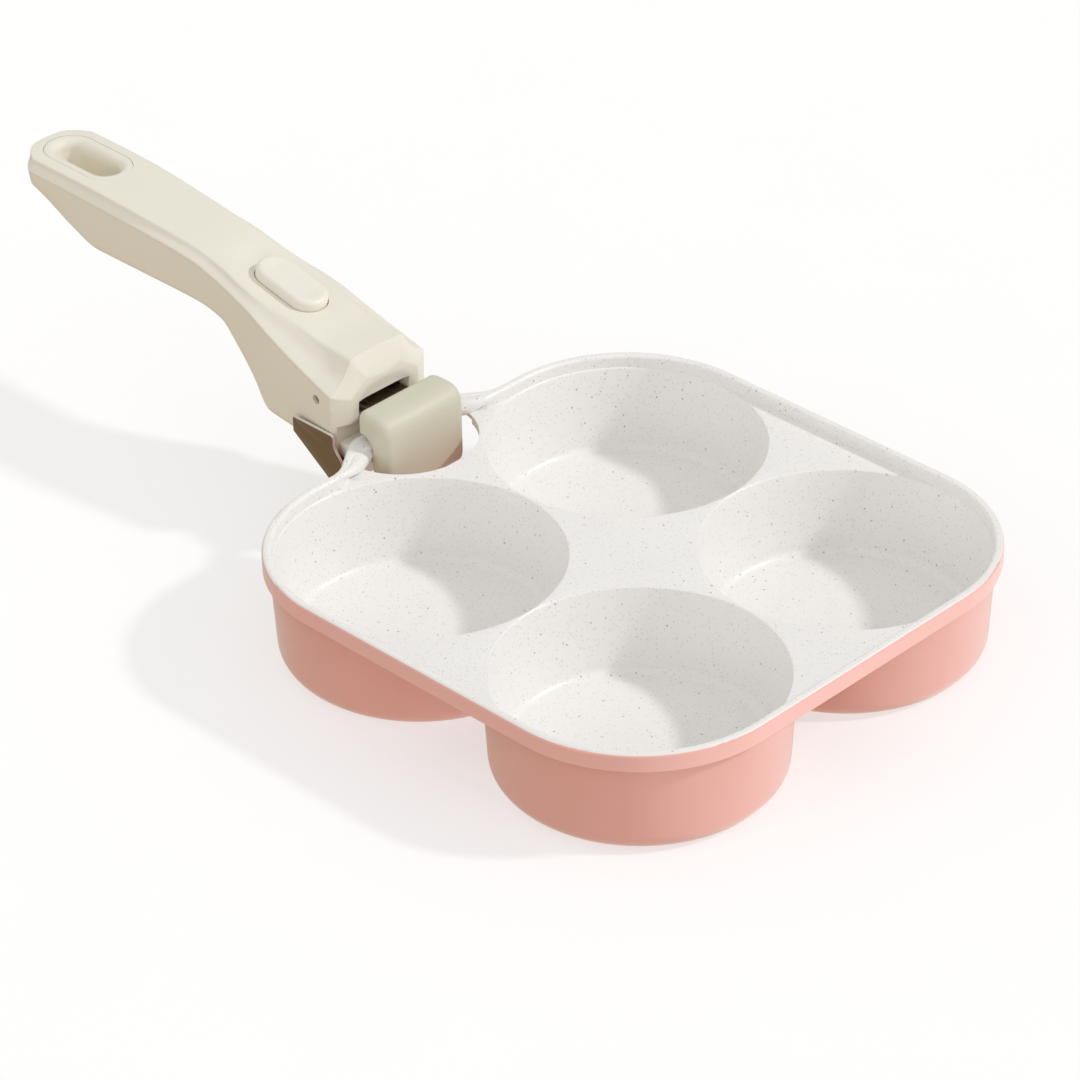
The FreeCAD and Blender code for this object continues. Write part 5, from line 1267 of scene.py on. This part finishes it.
# %% Screw tree
HEAD_SIDES = 48
SHANK_SIDES = 32
CROWN_SHARE = 0.45
CROWN_END_SHARE = 0.72
PLATE_SHARE = 0.55
CROSS_LENGTH_SHARE = 4.0
SIZES = ("Head Radius", "Head Height", "Shank Radius", "Shank Length", "Cross Width", "Cross Depth")


def screw_tree():
    """A node tree that puts a cross-head screw, pointing up, on every point of its geometry."""
    tree = bpy.data.node_groups.new("cross_head_screw", "GeometryNodeTree")
    tree.interface.new_socket("Geometry", in_out="INPUT", socket_type="NodeSocketGeometry")
    for name in SIZES:
        tree.interface.new_socket(name, in_out="INPUT", socket_type="NodeSocketFloat")
    tree.interface.new_socket("Metal", in_out="INPUT", socket_type="NodeSocketMaterial")
    tree.interface.new_socket("Geometry", in_out="OUTPUT", socket_type="NodeSocketGeometry")
    given = add_node(tree, "NodeGroupInput").outputs

    # Sizes that are shares of the given ones
    size = {}
    for name, whole, share in (
            ("crown height", "Head Height", CROWN_SHARE), ("crown end", "Head Radius", CROWN_END_SHARE),
            ("plate height", "Head Height", PLATE_SHARE),
            ("plate middle", "Head Height", CROWN_SHARE + PLATE_SHARE / 2),
            ("half shank", "Shank Length", 0.5), ("slot depth", "Cross Depth", 2.0),
            ("slot length", "Cross Width", CROSS_LENGTH_SHARE)):
        size[name] = add_node(tree, "ShaderNodeMath", {0: given[whole], 1: share},
                              operation="MULTIPLY").outputs[0]
    shank_middle = add_node(tree, "ShaderNodeMath", {0: given["Head Height"], 1: size["half shank"]},
                            operation="ADD").outputs[0]

    # Crown, with the cross cut out of it
    crown = add_node(tree, "GeometryNodeMeshCone", {
        "Vertices": HEAD_SIDES, "Radius Top": given["Head Radius"], "Radius Bottom": size["crown end"],
        "Depth": size["crown height"]})
    cut_crown = add_node(tree, "GeometryNodeMeshBoolean", {"Mesh 1": crown.outputs["Mesh"]},
                         operation="DIFFERENCE")
    for x, y in ((size["slot length"], given["Cross Width"]), (given["Cross Width"], size["slot length"])):
        bar_size = add_node(tree, "ShaderNodeCombineXYZ", {"X": x, "Y": y, "Z": size["slot depth"]})
        bar = add_node(tree, "GeometryNodeMeshCube", {"Size": bar_size.outputs[0]})
        tree.links.new(bar.outputs["Mesh"], cut_crown.inputs["Mesh 2"])

    # Plate and shank, lifted to their places
    screw_parts = [cut_crown.outputs["Mesh"]]
    for sides, radius, depth, middle in (
            (HEAD_SIDES, given["Head Radius"], size["plate height"], size["plate middle"]),
            (SHANK_SIDES, given["Shank Radius"], given["Shank Length"], shank_middle)):
        round_bar = add_node(tree, "GeometryNodeMeshCylinder", {
            "Vertices": sides, "Radius": radius, "Depth": depth})
        offset = add_node(tree, "ShaderNodeCombineXYZ", {"Z": middle})
        lifted = add_node(tree, "GeometryNodeTransform", {
            "Geometry": round_bar.outputs["Mesh"], "Translation": offset.outputs[0]})
        screw_parts.append(lifted.outputs[0])

    # One screw on every point, as real mesh
    screw = add_node(tree, "GeometryNodeJoinGeometry")
    for mesh in screw_parts:
        tree.links.new(mesh, screw.inputs[0])
    copies = add_node(tree, "GeometryNodeInstanceOnPoints", {
        "Points": given["Geometry"], "Instance": screw.outputs[0]})
    real = add_node(tree, "GeometryNodeRealizeInstances", {"Geometry": copies.outputs[0]})
    dressed = add_node(tree, "GeometryNodeSetMaterial", {
        "Geometry": real.outputs[0], "Material": given["Metal"]})
    add_node(tree, "NodeGroupOutput", {"Geometry": dressed.outputs[0]})
    return tree


SCREWS = screw_tree()
print(SCREWS.name, "has", len(SCREWS.nodes), "nodes")

# %% [markdown]
# ## Screws in their places
# Two screws come up through the bracket's floor, and two come up from the lever's channel into the cover.
# Each pair is a mesh of two points with the tree on it, and the tree's sizes are set in metres.

# %% Four screws
SCREW_SIZES = {"Head Radius": 2.6, "Head Height": 1.6, "Shank Radius": 1.3, "Cross Width": 0.8,
               "Cross Depth": 0.6}
SCREW_SMOOTH = 35.0
BRACKET_SCREWS = [(PIN_X, -14, 25.9), (PIN_X, 14, 25.9)]
BRACKET_SHANK = 9.4
COVER_SCREWS = [(-179.41, 0, 64.51), (-215.52, 0, 64.51)]
COVER_SHANK = 7.9


def put_screws(name, places, shank_length):
    """Screws whose heads start at the places, as one plain mesh."""
    mesh = bpy.data.meshes.new(name + "_points")
    mesh.from_pydata([row(*place) for place in places], [], [])
    holder = bpy.data.objects.new(name, mesh)
    bpy.context.scene.collection.objects.link(holder)
    step = holder.modifiers.new("screws", "NODES")
    step.node_group = SCREWS
    values = {size: length * MM for size, length in SCREW_SIZES.items()}
    values["Shank Length"] = shank_length * MM
    values["Metal"] = bright_steel
    for item in SCREWS.interface.items_tree:
        if item.in_out == "INPUT" and item.name in values:
            step[item.identifier] = values[item.name]
    shade(keep_modified(holder), SCREW_SMOOTH)
    return holder


bracket_heads = put_screws("bracket_cross_screws", BRACKET_SCREWS, BRACKET_SHANK)
stand_for(bracket_heads, "handle", "steel", "bracket_screws")
cover_heads = put_screws("cover_cross_screws", COVER_SCREWS, COVER_SHANK)
stand_for(cover_heads, "handle", "steel", "cover_screws")

# %% [markdown]
# ## Springs
# The coils under the button and behind the jaw change length as the clamp works, so neither can ride on
# one body alone. A copy of each coil takes the CAD coil's place, and the ends where it is fixed and where
# it pushes are worked out along its axis. The button's coil stands along Z and the jaw's two lie along X.

# %% Copies of the coils, with their two ends
COILS = {"button_coil": ("button_spring", "button", 2), "jaw_coils": ("jaw_springs", "jaw", 0)}
for name, (node, body_pushed, axis) in COILS.items():
    coil_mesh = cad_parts[node].data.copy()
    coil_mesh.materials.clear()
    coil = finish_piece(name, coil_mesh, [bright_steel])
    low, high = (Vector(corner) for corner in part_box(node))
    fixed_end = (low + high) / 2
    pushed_end = fixed_end.copy()
    fixed_end[axis] = low[axis]
    pushed_end[axis] = high[axis]
    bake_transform(coil)
    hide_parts(node)
    print(name, "from", round(low[axis] / MM, 2), "to", round(high[axis] / MM, 2))

# %% [markdown]
# ## Pieces that keep their CAD shape
# The tongue, lever, pins, rivets, bushes and pawl, and the small coil on the pawl's pin, are plain
# machine parts that hardly show. Their CAD shape is already right, so each only needs its metal or
# plastic.

# %% Materials for the plain pieces
PLAIN = {
    "jaw_tongue": tongue_steel_painted_reflection, "clamp_lever": cast_aluminium, "lever_bushes": turned_brass,
    "latch_pawl": inner_nylon, "jaw_rivets": bright_steel, "lever_rivets": bright_steel,
    "lever_pin": bright_steel, "crank_pin": bright_steel, "pawl_pin": bright_steel,
    "spring_pins": bright_steel, "pawl_spring": bright_steel,
}
for name, material in PLAIN.items():
    node_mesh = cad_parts[name].data
    node_mesh.materials.clear()
    node_mesh.materials.append(material)
print(len(PLAIN), "pieces keep their CAD shape")

# %% [markdown]
# ## Table
# The pan stands on a wide sheet of pale paper that runs out of the picture on all sides. A white sheet in
# a bright room never shows deep shadows, so the paper gives off some light of its own, which keeps its
# shadows faint. It is hidden from the pan's own light and reflections, which come from the lower half of
# the room instead.

# %% Pale table
FLOOR_HALF = 4000.0
FLOOR_DROP = 0.05
PAPER_CLOUD = 60.0
PAPER_GLOW = 0.57

paper, tree, shader, place = new_material("paper_backdrop_white")
# Long fibres make the tone of paper drift by so little that the eye sees an even sheet.
fibres = add_node(tree, "ShaderNodeTexNoise", {
    "Vector": place, "Scale": 1 / (PAPER_CLOUD * MM), "Detail": 3.0})
tone = add_node(tree, "ShaderNodeMix", {
    "Factor": fibres.outputs["Fac"], "A": hex_colour("#ADADAD"), "B": hex_colour("#B0B0B0")},
    data_type="RGBA")
tree.links.new(tone.outputs["Result"], shader.inputs["Base Color"])
shader.inputs["Roughness"].default_value = 0.9
shader.inputs["Emission Color"].default_value = hex_colour("#FFFFFF")
shader.inputs["Emission Strength"].default_value = PAPER_GLOW
floor_points = [(x, y, -FLOOR_DROP) for x in (-FLOOR_HALF, FLOOR_HALF) for y in (-FLOOR_HALF, FLOOR_HALF)]
floor = new_piece("table", floor_points, [(0, 2, 3, 1)], [paper])
floor.visible_diffuse = False
floor.visible_glossy = False
print("table", 2 * FLOOR_HALF * MM, "m wide")

# %% [markdown]
# ## Sun
# The shadows on the cup floors show where the light is: behind the pan and to the right, about 40 degrees
# up, and small enough to leave edges that are only a little soft. A Sun lamp a few degrees wide gives
# that.

# %% Low sun from behind
SUN_TURN = math.radians(40)
SUN_RISE = math.radians(40)
SUN_STRENGTH = 1.27
SUN_WIDTH = math.radians(5)

sun_data = bpy.data.lights.new("sun", "SUN")
sun_data.energy = SUN_STRENGTH
sun_data.angle = SUN_WIDTH
sun = bpy.data.objects.new("sun", sun_data)
bpy.context.scene.collection.objects.link(sun)
towards = Vector((math.cos(SUN_TURN) * math.cos(SUN_RISE), math.sin(SUN_TURN) * math.cos(SUN_RISE),
                  math.sin(SUN_RISE)))
sun.rotation_euler = towards.to_track_quat("Z", "Y").to_euler()
print("sun of strength", SUN_STRENGTH, "towards", [round(v, 2) for v in towards])

# %% [markdown]
# ## Room
# All other light is an even fill from a bright room. A sky picture could give that; three blends of plain
# colours are enough. The walls are brighter on the side that the handle's near flank faces. The lower
# half is the colour of a wooden table, which the polished bracket mirrors, and bright white on the sunny
# side, which lights the pan from below.

# %% Bright room over wood
SUNNY = 1.35
ROOM_WAYS = {
    "bright wall": ((0.0, -1.0, 0.0), -1.0, 1.0),
    "sunny side": ((0.8, 0.6, 0.0), -0.1, 0.6),
    "upwards": ((0.0, 0.0, 1.0), -0.3, 0.1),
}
world = bpy.data.worlds.new("bright_room_over_wood")
world.use_nodes = True
tree = world.node_tree
sky_place = add_node(tree, "ShaderNodeTexCoord").outputs["Generated"]
# How far each direction of the room lies towards each of the three ways, from nought to one
share = {}
for name, (way, low, high) in ROOM_WAYS.items():
    along = add_node(tree, "ShaderNodeVectorMath", {0: sky_place, 1: way}, operation="DOT_PRODUCT")
    share[name] = add_node(tree, "ShaderNodeMapRange", {
        "Value": along.outputs["Value"], "From Min": low, "From Max": high}).outputs[0]
walls = add_node(tree, "ShaderNodeMix", {
    "Factor": share["bright wall"], "A": hex_colour("#B6B5B4"), "B": hex_colour("#FCFBF9")}, data_type="RGBA")
sunny_white = [SUNNY * value for value in hex_colour("#FFFDFA")]
ground = add_node(tree, "ShaderNodeMix", {
    "Factor": share["sunny side"], "A": hex_colour("#B8A485"), "B": sunny_white}, data_type="RGBA")
room = add_node(tree, "ShaderNodeMix", {
    "Factor": share["upwards"], "A": ground.outputs["Result"], "B": walls.outputs["Result"]},
    data_type="RGBA")
tree.links.new(room.outputs["Result"], tree.nodes["Background"].inputs["Color"])
tree.nodes["Background"].inputs["Strength"].default_value = 1.0
bpy.context.scene.world = world
bpy.context.scene.view_settings.view_transform = "Standard"
print(world.name, "has", len(tree.nodes), "nodes")
